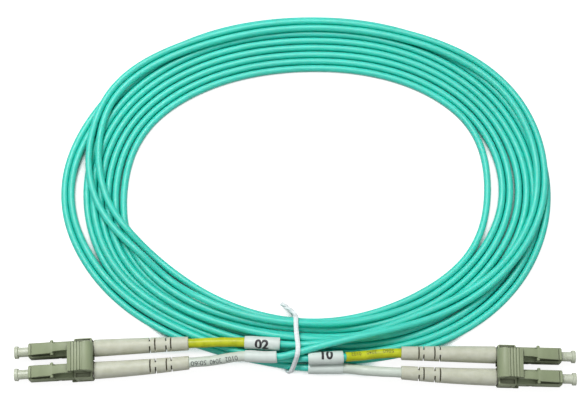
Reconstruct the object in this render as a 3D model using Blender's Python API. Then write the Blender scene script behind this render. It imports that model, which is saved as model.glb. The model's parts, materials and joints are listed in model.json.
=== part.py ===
"""A duplex fibre optic patch cord, coiled and tied, modelled as separate pieces in Blender.

Lengths in this file are millimetres, and become metres when a mesh is made. +Z is up, the floor is
z = 0, and the origin is on the floor below the middle of the object. The coil lies flat. Its front,
towards -Y, carries the wire tie and the plugs, two at each end.

A plug's own frame has +X towards its ferrule, +Z towards its latch, and its origin on the ferrule's
axis at the plug's front face.
"""

import math

import bmesh
import bpy
import numpy as np
from mathutils import Vector

METRES = 0.001

# Cord
CORD_R = 0.95                 # jacket outside radius
BORE_R = 0.76                 # jacket bore, a triangle's corner radius
FIBRE_R = 0.50                # buffered fibre, a triangle's corner radius
CORD_GAP = 0.13               # room left between two cords that rest on each other

# Coil: the inner edge is an ellipse, and each strand lies at an offset outside it
COIL_X, COIL_Y = 3.9, 3.05    # centre of the coil
COIL_A, COIL_B = 51.8, 37.5   # half width and half depth of the inner edge
STATION_DEG = 30.0            # spacing of the stations in the lay plan
RING_DEG = 12.0               # spacing of the rings along a strand

# Lay plan. Offsets from the inner edge at every station of a lap, starting at the tie and going
# left, back and right. One row for the outer and one for the inner cord of each lap.
LAY_OUTER = (
    (14.9, 13.9, 16.2, 18.6, 17.5, 17.3, 17.0, 18.3, 18.8, 18.3, 17.6, 15.4),
    (12.15, 10.3, 12.1, 12.1, 13.1, 12.9, 12.5, 13.9, 14.7, 14.2, 13.0, 11.4),
    (8.05, 7.2, 8.9, 8.0, 8.8, 8.3, 7.9, 9.5, 10.4, 10.0, 8.2, 7.4),
    (6.0, 5.2, 5.3, 3.6, 4.2, 3.7, 3.4, 5.0, 5.9, 5.2, 3.8, 3.35),
    (2.85, 2.3, 2.5, 10.2, 17.2, 16.2, 15.9, 17.5, 20.0, 17.1, 12.4, 8.7),
)
LAY_INNER = (
    (12.7, 12.1, 14.1, 16.6, 15.4, 15.1, 14.8, 16.1, 16.8, 16.2, 15.4, 13.4),
    (10.1, 8.8, 10.4, 10.1, 11.0, 10.6, 10.2, 11.7, 12.5, 12.2, 10.6, 9.4),
    (7.0, 6.5, 7.1, 5.8, 6.5, 6.0, 5.6, 7.3, 8.2, 7.4, 6.0, 5.4),
    (3.95, 3.9, 3.8, 1.2, 2.0, 1.4, 1.15, 2.8, 3.7, 0.9, 1.6, 1.3),
    (1.7, -0.2, 0.1, 7.0, 15.2, 14.0, 13.7, 15.4, 17.8, 14.9, 10.4, 6.7),
)
LAY_END = (10.7, 8.9)         # outer and inner cord, at the tie after the last lap
LAPS = len(LAY_OUTER)
LAST_DEG = 360.0 * LAPS

# The two duplex ends: middle of the front faces, direction the ferrules point, and which plug of
# the pair is nearer the front
PITCH = 6.25
END_FACE = {"left": (-73.1, -48.05), "right": (74.2, -49.35)}
END_TURN_DEG = {"left": 183.3, "right": -1.4}
FRONT_SIDE = {"left": 1, "right": -1}
AXIS_Z = 2.75                 # height of the ferrules' axes

# Places along a plug, on its own X
BODY_BACK = -17.5             # rear of the plug housing
CLIP_FRONT, CLIP_BACK = -12.6, -18.2
JACKET_END = -22.2
BOOT_FRONT, BOOT_TAIL = -18.5, -43.6
SLEEVE_FRONT, SLEEVE_TAIL = -41.7, -59.8
MARKER_FRONT, MARKER_TAIL = -60.3, -69.6
LATCH_HINGE = (-1.35, 2.86)   # x, z
TRIGGER_HINGE = (-17.2, 3.9)
FERRULE_TIP = 1.9
CAP_TIP = 4.1

SLEEVE_R, SLEEVE_BORE_R = 1.25, 1.06
MARKER_R, MARKER_BORE_R = 1.65, 1.06
BOOT_R, BOOT_TAIL_R = 2.35, 1.85
BOOT_LIFT = 1.25              # how far the boot's tail bends up
BOOT_PINCH = 0.4              # how far it bends towards the other boot

# Wire tie: a flat ribbon
TIE_X = 0.4
TIE_HALF_WIDTH, TIE_HALF_THICK = 0.75, 0.35
TIE_LIFT = 0.85               # the bundle is held this far off the floor at the tie
TIE_LIFT_REACH = 20.0         # and is back on the floor this far from it

TURNED_SIDES = 10

COLOURS = {
    "jacket": (0.12, 0.72, 0.60, 0.5, 0.0),
    "fibre": (0.85, 0.86, 0.80, 0.4, 0.0),
    "housing": (0.42, 0.43, 0.30, 0.45, 0.0),
    "boot": (0.76, 0.74, 0.62, 0.55, 0.0),
    "cap": (0.88, 0.89, 0.86, 0.35, 0.0),
    "yellow": (0.72, 0.68, 0.03, 0.45, 0.0),
    "white": (0.84, 0.84, 0.82, 0.5, 0.0),
    "ceramic": (0.93, 0.92, 0.88, 0.2, 0.0),
    "metal": (0.72, 0.70, 0.66, 0.3, 1.0),
    "yarn": (0.80, 0.68, 0.22, 0.9, 0.0),
    "tie": (0.78, 0.78, 0.76, 0.5, 0.0),
}


# ---------------------------------------------------------------- scene and meshes

def clear_scene():
    for obj in list(bpy.data.objects):
        bpy.data.objects.remove(obj, do_unlink=True)


def material(kind):
    found = bpy.data.materials.get(kind)
    if found:
        return found
    red, green, blue, roughness, metallic = COLOURS[kind]
    made = bpy.data.materials.new(kind)
    made.use_nodes = True
    shader = made.node_tree.nodes["Principled BSDF"]
    shader.inputs["Base Color"].default_value = (red, green, blue, 1.0)
    shader.inputs["Roughness"].default_value = roughness
    shader.inputs["Metallic"].default_value = metallic
    return made


def new_object(name, kind, points, faces, parent=None, smooth=True):
    """Makes an object of one closed surface from points in millimetres."""
    mesh = bpy.data.meshes.new(name)
    mesh.from_pydata([tuple(c * METRES for c in p) for p in points], [], faces)
    surface = bmesh.new()
    surface.from_mesh(mesh)
    bmesh.ops.recalc_face_normals(surface, faces=surface.faces)
    surface.to_mesh(mesh)
    surface.free()
    if smooth:
        mesh.shade_smooth()
        mesh.set_sharp_from_angle(angle=math.radians(35))
    mesh.materials.append(material(kind))
    obj = bpy.data.objects.new(name, mesh)
    bpy.context.collection.objects.link(obj)
    obj.parent = parent
    return obj


def new_empty(name, place, turn_deg=0.0, parent=None):
    empty = bpy.data.objects.new(name, None)
    bpy.context.collection.objects.link(empty)
    empty.location = [c * METRES for c in place]
    empty.rotation_euler = (0.0, 0.0, math.radians(turn_deg))
    empty.parent = parent
    return empty


def as_cutter(obj):
    obj.hide_render = True
    obj.display_type = "WIRE"
    return obj


def cut(obj, cutter):
    step = obj.modifiers.new("cut_" + cutter.name, "BOOLEAN")
    step.operation = "DIFFERENCE"
    step.solver = "EXACT"
    step.object = cutter


def bridged(rings, closed_ends=True):
    """Points and faces of a skin over rings of equal count, with flat ends."""
    count = len(rings[0])
    points = [p for ring in rings for p in ring]
    faces = []
    for k in range(len(rings) - 1):
        for i in range(count):
            j = (i + 1) % count
            faces.append((k * count + i, k * count + j, (k + 1) * count + j, (k + 1) * count + i))
    if closed_ends:
        last = (len(rings) - 1) * count
        faces.append(tuple(range(count)))
        faces.append(tuple(last + i for i in range(count)))
    return points, faces


def hollow(outer, inner):
    """A pipe from outer rings and inner rings. The inner count divides the outer count."""
    points, faces = bridged(outer, closed_ends=False)
    bore_points, bore_faces = bridged(inner, closed_ends=False)
    start = len(points)
    points += bore_points
    faces += [tuple(start + i for i in face) for face in bore_faces]
    many, few = len(outer[0]), len(inner[0])
    share = many // few
    for out_first, in_first in ((0, start), (many * (len(outer) - 1), start + few * (len(inner) - 1))):
        for j in range(few):
            bore_here = in_first + j
            bore_next = in_first + (j + 1) % few
            for m in range(share):
                edge = j * share + m
                faces.append((bore_here, out_first + edge, out_first + (edge + 1) % many))
            faces.append((bore_here, out_first + (j + 1) * share % many, bore_next))
    return points, faces


def turned(profile, sides=TURNED_SIDES, bend=None):
    """Turns a profile of (x, radius) about X. It is a closed loop, or starts and ends at radius 0."""
    on_axis = profile[0][1] == 0.0
    points = []
    places = []
    for x, radius in profile:
        if radius == 0.0:
            places.append([len(points)] * sides)
            points.append((x, 0.0, 0.0))
            continue
        places.append([len(points) + i for i in range(sides)])
        for i in range(sides):
            angle = math.tau * i / sides
            points.append((x, radius * math.cos(angle), radius * math.sin(angle)))
    if bend:
        points = [bend(p) for p in points]
    faces = []
    spans = len(profile) - 1 if on_axis else len(profile)
    for k in range(spans):
        here, after = places[k], places[(k + 1) % len(profile)]
        for i in range(sides):
            j = (i + 1) % sides
            corners = (here[i], here[j], after[j], after[i])
            faces.append(tuple(dict.fromkeys(corners)))
    return points, faces


def box_points(low, high):
    corners = [(x, y, z) for x in (low[0], high[0]) for y in (low[1], high[1]) for z in (low[2], high[2])]
    faces = [(0, 1, 3, 2), (4, 6, 7, 5), (0, 4, 5, 1), (2, 3, 7, 6), (0, 2, 6, 4), (1, 5, 7, 3)]
    return corners, faces


def joined(*shapes):
    """Several shapes as one list of points and faces, for cutters."""
    points, faces = [], []
    for shape_points, shape_faces in shapes:
        start = len(points)
        points += shape_points
        faces += [tuple(start + i for i in face) for face in shape_faces]
    return points, faces


def arc(centre, radius, start_deg, end_deg, steps):
    """Points of an arc in a side view."""
    for k in range(steps + 1):
        angle = math.radians(start_deg + (end_deg - start_deg) * k / steps)
        yield (centre[0] + radius * math.cos(angle), centre[1] + radius * math.sin(angle))


def extruded(outline, half_width):
    """A side view outline of (x, z), drawn out along Y."""
    rings = [[(x, y, z) for x, z in outline] for y in (-half_width, half_width)]
    return bridged(rings)


# ---------------------------------------------------------------- path of the cords in plan

def coil_point(deg, offset):
    angle = math.radians(deg)
    x, y = COIL_A * math.sin(angle), COIL_B * math.cos(angle)
    out = Vector((math.sin(angle) / COIL_A, math.cos(angle) / COIL_B)).normalized()
    return (COIL_X - x - offset * out.x, COIL_Y - y - offset * out.y)


def plug_to_floor(end, row, x, y=0.0):
    """Plan place of a point of a plug. row is 1 for the front plug of its pair and -1 for the other."""
    turn = math.radians(END_TURN_DEG[end])
    across = row * FRONT_SIDE[end] * (PITCH / 2) + y
    face = END_FACE[end]
    return (
        face[0] + x * math.cos(turn) - across * math.sin(turn),
        face[1] + x * math.sin(turn) + across * math.cos(turn),
    )


def boot_bend(x):
    """Sideways pinch and lift of the boot's centre line at x."""
    share = min(max((BOOT_FRONT - x) / (BOOT_FRONT - BOOT_TAIL), 0.0), 1.4)
    return BOOT_PINCH * share * share, BOOT_LIFT * share * share


def boot_axis(end, row, x):
    pinch, _ = boot_bend(x)
    return plug_to_floor(end, row, x, -row * FRONT_SIDE[end] * pinch)


def spline(knots, values, at):
    """Natural cubic spline through values at rising knots, read at the places in at."""
    knots, values, at = (np.asarray(v, float) for v in (knots, values, at))
    step = np.diff(knots)
    count = len(knots)
    matrix = np.eye(count)
    right = np.zeros((count, values.shape[1]))
    slope = np.diff(values, axis=0) / step[:, None]
    for k in range(1, count - 1):
        matrix[k, k - 1:k + 2] = step[k - 1], 2 * (step[k - 1] + step[k]), step[k]
        right[k] = 6 * (slope[k] - slope[k - 1])
    bend = np.linalg.solve(matrix, right)
    span = np.clip(np.searchsorted(knots, at, side="right") - 1, 0, count - 2)
    width = step[span][:, None]
    after = (at - knots[span])[:, None] / width
    before = 1.0 - after
    curve = (before ** 3 - before) * bend[span] + (after ** 3 - after) * bend[span + 1]
    return before * values[span] + after * values[span + 1] + curve * width ** 2 / 6


# Plan places of a marker's two ends, for the front and the back cord
MARKER_LEFT = {1: ((-4.6, -47.0), (-14.3, -46.7)), -1: ((-4.4, -43.2), (-13.8, -42.65))}
MARKER_RIGHT = {1: (14.0, -49.45), -1: (13.8, -46.85)}
AT_TIE_OFFSET = {1: 14.25, -1: 12.9}
AT_TIE_DEG = 6.0
BOOT_STEPS = (BOOT_TAIL - 5.0, BOOT_TAIL, -36.0, -29.0, JACKET_END)


def plan_knots(row):
    """The cord's knots in plan: a rising parameter, degrees in the coil, and the places."""
    lay = LAY_OUTER if row == 1 else LAY_INNER
    coil = [(d, coil_point(d, lay[int(d // 360)][int(d % 360 // STATION_DEG)]))
            for d in np.arange(0.0, LAST_DEG, STATION_DEG)]
    coil.append((LAST_DEG, coil_point(LAST_DEG, LAY_END[0 if row == 1 else 1])))
    coil.insert(1, (AT_TIE_DEG, coil_point(AT_TIE_DEG, AT_TIE_OFFSET[row])))
    right = [MARKER_RIGHT[row]] + [boot_axis("right", row, x) for x in BOOT_STEPS]
    left = list(MARKER_LEFT[row]) + [boot_axis("left", row, x) for x in BOOT_STEPS]
    knots = list(coil)
    for place in right:
        knots.insert(0, (knots[0][0] - math.dist(place, knots[0][1]), place))
    for place in left:
        knots.append((knots[-1][0] + math.dist(place, knots[-1][1]), place))
    return [k for k, _ in knots], [p for _, p in knots]


# ---------------------------------------------------------------- heights of the cords

FINE_DEG = 2.0
SELF_REACH = 20.0             # a stretch this short of a cord can't lie on itself
ORDER_RIGHT_END, ORDER_TOP_LAP, ORDER_LEFT_END = 15, 20, 30
RIGHT_END_DEG = 10.0
TOP_LAP_DEG = LAST_DEG - 390.0
LEFT_END_DEG = LAST_DEG - 5.0


class Cord:
    """One cord's centre line, sampled finely, with its outside radius and its order of laying."""

    def __init__(self, row):
        self.row = row
        knots, places = plan_knots(row)
        self.start, self.end = knots[0], knots[-1]
        inside = np.arange(0.0, LAST_DEG + 0.1, FINE_DEG)
        before = np.linspace(self.start, 0.0, 40, endpoint=False)
        after = np.linspace(LAST_DEG, self.end, 40)[1:]
        self.at = np.concatenate([before, inside, after])
        self.plan = spline(knots, places, self.at)
        steps = np.linalg.norm(np.diff(self.plan, axis=0), axis=1)
        self.length = np.concatenate([[0.0], np.cumsum(steps)])
        self.along_plug = np.maximum(
            JACKET_END - self.length, JACKET_END - (self.length[-1] - self.length))
        self.radius = self.outside_radius()
        self.order = self.laying_order()
        self.floor = self.radius + self.tie_lift()
        self.z = self.floor.copy()

    def outside_radius(self):
        radius = np.full(len(self.at), CORD_R)
        radius[self.along_plug > MARKER_TAIL] = MARKER_R
        radius[self.along_plug > SLEEVE_TAIL] = SLEEVE_R
        radius[self.along_plug > BOOT_TAIL] = BOOT_TAIL_R
        return radius

    def laying_order(self):
        """Higher numbers lie on top. The inner cord lies over the outer one, but not in the top lap."""
        inner = 0 if self.row == 1 else 1
        order = np.floor(np.clip(self.at, 0.0, LAST_DEG) / 360.0) + LAPS * inner
        order[self.at > TOP_LAP_DEG] = ORDER_TOP_LAP - inner
        order[self.at < RIGHT_END_DEG] = ORDER_RIGHT_END + inner
        order[self.at > LEFT_END_DEG] = ORDER_LEFT_END - inner
        return order

    def tie_lift(self):
        near = 1.0 - np.abs(self.plan[:, 0] - TIE_X) / TIE_LIFT_REACH
        near = np.clip(near, 0.0, 1.0) * (self.plan[:, 1] < 0.0)
        return TIE_LIFT * near * near * (3.0 - 2.0 * near)


def resting_height(cord, others):
    """Height each point of a cord needs to lie on the floor and on everything laid before it."""
    need = cord.floor.copy()
    for other in others:
        apart = np.linalg.norm(cord.plan[:, None, :] - other.plan[None, :, :], axis=2)
        reach = cord.radius[:, None] + other.radius[None, :] + CORD_GAP
        below = other.order[None, :] < cord.order[:, None]
        if other is cord:
            below &= np.abs(cord.length[:, None] - cord.length[None, :]) > SELF_REACH
        touching = below & (apart < reach)
        rise = np.sqrt(np.maximum(reach ** 2 - apart ** 2, 0.0))
        top = np.where(touching, other.z[None, :] + rise, 0.0)
        need = np.maximum(need, top.max(axis=1))
    return need


def eased(length, need, reach):
    """A smooth curve that stays above need: the highest nearby value, then the average."""
    near = np.abs(length[:, None] - length[None, :]) <= reach
    highest = np.where(near, need[None, :], 0.0).max(axis=1)
    return (near * highest[None, :]).sum(axis=1) / near.sum(axis=1)


def settle(cords):
    """Lets the cords down on each other, lap by lap, until nothing moves."""
    for _ in range(LAPS + 3):
        for cord in cords:
            need = resting_height(cord, cords)
            cord.z = join_boots(cord, eased(cord.length, need, EASE_REACH))


EASE_REACH = 4.0
BLEND_REACH = 15.0


def join_boots(cord, z):
    """Holds the cord on the boots' axes, and eases it into them beyond the tails."""
    lift = np.array([boot_bend(x)[1] for x in cord.along_plug])
    away = np.clip((BOOT_TAIL - cord.along_plug) / BLEND_REACH, 0.0, 1.0)
    share = away * away * (3.0 - 2.0 * away)
    return (1.0 - share) * (AXIS_Z + lift) + share * z


# ---------------------------------------------------------------- rings along a cord

def frames(centres):
    """For each centre, the level sideways direction and the upward one, square to the path."""
    ahead = np.gradient(centres, axis=0)
    ahead /= np.linalg.norm(ahead, axis=1)[:, None]
    side = np.cross((0.0, 0.0, 1.0), ahead)
    side /= np.linalg.norm(side, axis=1)[:, None]
    return side, np.cross(ahead, side)


def round_rings(centres, radius, sides, start_deg=90.0):
    side, up = frames(centres)
    rings = []
    for centre, across, above in zip(centres, side, up):
        ring = []
        for i in range(sides):
            angle = math.radians(start_deg) + math.tau * i / sides
            offset = radius * (math.cos(angle) * across + math.sin(angle) * above)
            ring.append(tuple(centre + offset))
        rings.append(ring)
    return rings


def read_path(cord, at):
    """Centre line points at parameters."""
    return np.column_stack([np.interp(at, cord.at, column)
                            for column in (cord.plan[:, 0], cord.plan[:, 1], cord.z)])


def along_to_parameter(cord, end, xs):
    """Parameters of the places at x on the plug at one end."""
    distance = JACKET_END - np.asarray(xs, float)
    length = distance if end == "right" else cord.length[-1] - distance
    return np.interp(length, cord.length, cord.at)


SLEEVE_XS = np.linspace(SLEEVE_FRONT, SLEEVE_TAIL, 5)
MARKER_XS = np.linspace(MARKER_FRONT, MARKER_TAIL, 3)
LAP_RINGS = (0.0, 4.0, 8.0, *np.arange(12.0, 345.0, RING_DEG), 348.0, 352.0, 356.0)
END_XS = (JACKET_END, -29.0, -36.0, *SLEEVE_XS, *MARKER_XS[1:])


def cord_centres(cord):
    """Ring centres from the right crimp, round the coil, to the left crimp."""
    coil = np.array([lap * 360.0 + d for lap in range(LAPS) for d in LAP_RINGS] + [LAST_DEG])
    right = along_to_parameter(cord, "right", END_XS)
    left = along_to_parameter(cord, "left", END_XS)[::-1]
    middle = [(LAST_DEG + left[0]) / 2]
    return read_path(cord, np.concatenate([right[:-1], coil, middle, left]))


def inner_lead(end, row, xs):
    """Points on a plug's straight axis, for the fibre ahead of the jacket."""
    return [(*plug_to_floor(end, row, x), AXIS_Z) for x in xs]


FIBRE_TIP = -6.0


def make_cord(cord, name):
    centres = cord_centres(cord)
    outer = round_rings(centres, CORD_R, 6)
    inner = round_rings(centres, BORE_R, 3)
    new_object("cord_jacket_" + name, "jacket", *hollow(outer, inner))
    first = inner_lead("right", cord.row, (FIBRE_TIP, -19.0))
    last = inner_lead("left", cord.row, (-19.0, FIBRE_TIP))
    fibre = np.vstack([first, centres, last])
    new_object("buffered_fibre_" + name, "fibre", *bridged(round_rings(fibre, FIBRE_R, 3)))


def make_sleeves(cord, end, row_name):
    centres = read_path(cord, along_to_parameter(cord, end, SLEEVE_XS))
    kind = "white" if cord.row == 1 else "yellow"
    shape = hollow(round_rings(centres, SLEEVE_R, 8), round_rings(centres, SLEEVE_BORE_R, 8))
    new_object(f"id_sleeve_{end}_{row_name}", kind, *shape)
    centres = read_path(cord, along_to_parameter(cord, end, MARKER_XS))
    shape = hollow(round_rings(centres, MARKER_R, 8), round_rings(centres, MARKER_BORE_R, 8))
    new_object(f"marker_sleeve_{end}_{row_name}", "white", *shape)


# ---------------------------------------------------------------- wire tie

TIE_ROOM = 0.28
TIE_DIRECTIONS = 20
TIE_SWEEP_DEG = 270.0         # from the inner side, over the top, to the underside
TAIL_TURNS = 0.5
TAIL_STEPS = 10
TAIL_LENGTH = 5.0
TAIL_HALF_WIDTH = 0.5
TAIL_GAP = 0.3                # between the two ribbons
TAIL_HEIGHT = 1.0
TAIL_HEADING = (-0.80, 0.58, 0.04)


def tie_strands(cords):
    """Where the cords cross the tie's plane, as (y, z)."""
    strands = []
    for cord in cords:
        offset = cord.plan[:, 0] - TIE_X
        for k in np.nonzero((offset[:-1] * offset[1:] <= 0.0) & (cord.plan[:-1, 1] < 0.0))[0]:
            strands.append((cord.plan[k, 1], cord.z[k]))
    return strands


def tie_loop(strands):
    """The ribbon's centre line round the bundle, from the coil's inner side over the top."""
    reach = CORD_R + TIE_ROOM + TIE_HALF_THICK
    loop = []
    for k in range(TIE_DIRECTIONS + 1):
        angle = math.radians(TIE_SWEEP_DEG * k / TIE_DIRECTIONS)
        out = (math.cos(angle), math.sin(angle))
        centre = max(strands, key=lambda s: s[0] * out[0] + s[1] * out[1])
        loop.append((centre[0] + reach * out[0], max(centre[1] + reach * out[1], TIE_HALF_THICK), out))
    return loop


def ribbon_ring(centre, wide, thick, half_width):
    """Four corners of the ribbon's section."""
    return [tuple(centre + a * half_width * wide + b * TIE_HALF_THICK * thick)
            for a, b in ((1, 1), (-1, 1), (-1, -1), (1, -1))]


def tail_rings(root, heading, phase, travel):
    """One of the two ribbons twisted together, from the root outwards. travel is -1 for the ribbon
    that runs into the loop and 1 for the one that runs out of it."""
    side = heading.cross(Vector((0, 0, 1))).normalized()
    above = side.cross(heading)
    rings = []
    for k in range(TAIL_STEPS + 1):
        share = k / TAIL_STEPS
        angle = phase + math.tau * TAIL_TURNS * share
        thick = math.cos(angle) * side + math.sin(angle) * above
        wide = thick.cross(heading) * travel
        centre = root + heading * (TAIL_LENGTH * share) + thick * (TIE_HALF_THICK + TAIL_GAP / 2)
        rings.append(ribbon_ring(np.array(centre), np.array(wide), np.array(thick), TAIL_HALF_WIDTH))
    return rings


def make_tie(cords):
    loop = tie_loop(tie_strands(cords))
    wide = np.array((1.0, 0.0, 0.0))
    rings = []
    for y, z, out in loop:
        rings.append(ribbon_ring(np.array((TIE_X, y, z)), wide, np.array((0.0, *out)), TIE_HALF_WIDTH))
    root = Vector((TIE_X - 0.5, loop[0][0] + 1.1, TAIL_HEIGHT))
    heading = Vector(TAIL_HEADING).normalized()
    start = tail_rings(root, heading, math.pi / 2, -1)
    end = tail_rings(root, heading, -math.pi / 2, 1)
    new_object("wire_tie", "tie", *bridged(start[::-1] + rings + end), smooth=False)


# ---------------------------------------------------------------- pieces of a plug

def make_dust_cap(tag, plug):
    profile = (
        (CAP_TIP, 0.0), (CAP_TIP, 1.6), (CAP_TIP - 0.15, 1.75), (CAP_TIP - 0.9, 1.75),
        (CAP_TIP - 1.0, 1.35), (0.15, 1.3), (-2.3, 1.25), (-2.3, 0.75), (2.3, 0.75), (2.3, 0.0),
    )
    return new_object("dust_cap_" + tag, "cap", *turned(profile), parent=plug)


def make_ferrule(tag, plug):
    profile = ((FERRULE_TIP, 0.15), (FERRULE_TIP, 0.5), (FERRULE_TIP - 0.15, 0.625),
               (-5.0, 0.625), (-5.0, 0.15))
    return new_object("ferrule_" + tag, "ceramic", *turned(profile), parent=plug)


def make_holder(tag, plug):
    profile = ((-3.6, 0.68), (-3.6, 1.35), (-5.2, 1.35), (-5.3, 0.85), (-9.5, 0.85),
               (-9.5, 0.6), (-5.1, 0.6), (-5.1, 0.68))
    return new_object("ferrule_holder_" + tag, "metal", *turned(profile), parent=plug)


SPRING_TURNS = 4.5
SPRING_STEPS = 8
SPRING_R, SPRING_WIRE_R = 1.18, 0.13
SPRING_FRONT, SPRING_BACK = -5.5, -9.8


def make_spring(tag, plug):
    total = int(SPRING_TURNS * SPRING_STEPS)
    rings = []
    for k in range(total + 1):
        angle = math.tau * k / SPRING_STEPS
        x = SPRING_FRONT + (SPRING_BACK - SPRING_FRONT) * k / total
        out = Vector((0.0, math.cos(angle), math.sin(angle)))
        middle = out * SPRING_R + Vector((x, 0.0, 0.0))
        along = Vector((1.0, 0.0, 0.0))
        ring = [middle + SPRING_WIRE_R * (math.cos(a) * out + math.sin(a) * along)
                for a in (0.0, math.tau / 4, math.tau / 2, math.tau * 3 / 4)]
        rings.append([tuple(p) for p in ring])
    return new_object("ferrule_spring_" + tag, "metal", *bridged(rings), parent=plug)


NOSE_HALF = 2.15
WAIST_HALF = 2.0              # narrower behind the nose, to pass through the clip
NOSE_BACK = -12.3
BODY_CHAMFER = 0.25


def square_ring(x, half):
    """A square section with chamfered corners."""
    near = half - BODY_CHAMFER
    corners = ((half, near), (near, half), (-near, half), (-half, near),
               (-half, -near), (-near, -half), (near, -half), (half, -near))
    return [(x, y, z) for y, z in corners]


def make_housing(tag, plug):
    stations = ((0.0, NOSE_HALF - 0.2), (-0.25, NOSE_HALF), (NOSE_BACK, NOSE_HALF),
                (NOSE_BACK, WAIST_HALF), (BODY_BACK, WAIST_HALF))
    shape = bridged([square_ring(x, half) for x, half in stations])
    housing = new_object("plug_housing_" + tag, "housing", *shape, parent=plug, smooth=False)
    profile = (
        (1.0, 0.0), (1.0, 1.5), (-2.6, 1.5), (-2.6, 0.85), (-3.4, 0.85), (-3.4, 1.6),
        (BODY_BACK - 1.0, 1.6), (BODY_BACK - 1.0, 0.0),
    )
    bore = as_cutter(new_object("bore_cutter_" + tag, "housing", *turned(profile), parent=plug))
    cut(housing, bore)
    return housing


def make_latch(tag, plug):
    """A lever from its hinge at the plug's front to its tail below the trigger."""
    stations = (                      # x, underside, top, half width
        (-0.92, 2.72, 3.02, 1.45), (-1.1, 2.50, 3.26, 1.55), (-1.6, 2.45, 3.45, 1.55),
        (-5.6, 3.32, 4.25, 1.55), (-5.88, 3.38, 4.32, 1.55), (-5.92, 3.15, 4.45, 2.1),
        (-6.9, 3.28, 4.62, 2.1), (-6.95, 3.62, 4.55, 1.3), (-9.4, 4.18, 4.92, 1.15),
        (-12.3, 4.50, 4.98, 1.15),
    )
    hinge_x, hinge_z = LATCH_HINGE
    rings = []
    for x, low, high, half in stations:
        rings.append([(x - hinge_x, y, z - hinge_z) for y, z in
                      ((-half, low), (half, low), (half, high), (-half, high))])
    latch = new_object("latch_" + tag, "housing", *bridged(rings), parent=plug, smooth=False)
    latch.location = (hinge_x * METRES, 0.0, hinge_z * METRES)
    return latch


def make_back_post(tag, plug):
    profile = (
        (-10.0, 1.0), (-10.0, 1.45), (-17.6, 1.45), (-17.65, 1.95), (-18.3, 1.95), (-18.35, 1.1),
        (-21.8, 1.1), (-21.8, 0.66), (-12.0, 0.66), (-12.0, 1.0),
    )
    return new_object("back_post_" + tag, "metal", *turned(profile), parent=plug)


def make_yarn(tag, plug):
    profile = ((-18.7, 1.14), (-18.7, 1.26), (-21.9, 1.26), (-21.9, 1.14))
    return new_object("aramid_yarn_" + tag, "yarn", *turned(profile), parent=plug)


def make_crimp(tag, plug):
    profile = (
        (-18.8, 1.32), (-18.8, 1.62), (-22.1, 1.62), (-22.5, 1.38), (-25.5, 1.38), (-25.5, 1.08),
        (-22.6, 1.08), (-22.2, 1.32),
    )
    return new_object("crimp_sleeve_" + tag, "metal", *turned(profile), parent=plug)


# Slots of the back boot: distance from the tail, and the turn of the slot's middle. The front boot
# is a quarter turn from it.
BOOT_SLOTS = ((4.7, 90.0), (6.2, 0.0), (9.2, 90.0), (10.8, 0.0))
QUARTER_DEG = {1: 90.0, -1: 0.0}
SLOT_WIDTH, SLOT_SWEEP_DEG, SLOT_DEPTH_R = 0.5, 110.0, 1.25


def ring_slot(distance, turn_deg):
    """Two arched bars that cut one pair of slots in the boot's wall."""
    shapes = []
    for side in (0.0, 180.0):
        start = turn_deg + side - SLOT_SWEEP_DEG / 2
        rings = []
        for k in range(4):
            angle = math.radians(start + SLOT_SWEEP_DEG * k / 3)
            ring = []
            for x, radius in ((0.0, SLOT_DEPTH_R), (SLOT_WIDTH, SLOT_DEPTH_R), (SLOT_WIDTH, 3.2), (0.0, 3.2)):
                ring.append((BOOT_TAIL + distance + x, radius * math.cos(angle), radius * math.sin(angle)))
            rings.append(ring)
        shapes.append(bridged(rings))
    return joined(*shapes)


def make_boot(tag, plug, row, pinch_sign):
    def bend(point):
        pinch, lift = boot_bend(point[0])
        return (point[0], point[1] + pinch_sign * pinch, point[2] + lift)

    profile = (
        (BOOT_FRONT, 1.85), (BOOT_FRONT, BOOT_R), (-21.0, 2.31), (-27.0, 2.2),
        (-33.0, 2.08), (-39.0, 1.94), (BOOT_TAIL, BOOT_TAIL_R), (BOOT_TAIL, 1.5), (-41.4, 1.5),
        (-41.2, 1.12), (-34.0, 1.12), (-27.5, 1.12), (-26.5, 1.85),
    )
    boot = new_object("boot_" + tag, "boot", *turned(profile, 12, bend), parent=plug)
    points, faces = joined(*[ring_slot(distance, turn + QUARTER_DEG[row]) for distance, turn in BOOT_SLOTS])
    points = [bend(p) for p in points]
    cutter = as_cutter(new_object("slot_cutter_" + tag, "boot", points, faces, parent=plug))
    cut(boot, cutter)
    return boot


# ---------------------------------------------------------------- duplex clip

CLIP_HALF_WIDTH, CLIP_HALF_HEIGHT = 5.65, 2.75
CHANNEL_HALF = 2.15
TRIGGER_HALF_WIDTH = 4.0


def make_clip(end, pair):
    low = (CLIP_BACK, -CLIP_HALF_WIDTH, -CLIP_HALF_HEIGHT)
    high = (CLIP_FRONT, CLIP_HALF_WIDTH, CLIP_HALF_HEIGHT)
    clip = new_object("duplex_clip_" + end, "housing", *box_points(low, high), parent=pair, smooth=False)
    bevel = clip.modifiers.new("edges", "BEVEL")
    bevel.width = 0.5 * METRES
    bevel.segments = 2
    channels = []
    for side in (-1, 1):
        middle = side * PITCH / 2
        channels.append(box_points((CLIP_BACK - 1.0, middle - CHANNEL_HALF, -CHANNEL_HALF),
                                   (CLIP_FRONT + 1.0, middle + CHANNEL_HALF, CHANNEL_HALF)))
    waist = box_points((CLIP_BACK - 1.0, -0.35, -CLIP_HALF_HEIGHT - 1.0), (-15.8, 0.35, CLIP_HALF_HEIGHT + 1.0))
    cut(clip, as_cutter(new_object("channel_cutter_" + end, "housing", *joined(*channels), parent=pair)))
    cut(clip, as_cutter(new_object("waist_cutter_" + end, "housing", *waist, parent=pair)))
    return clip


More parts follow.
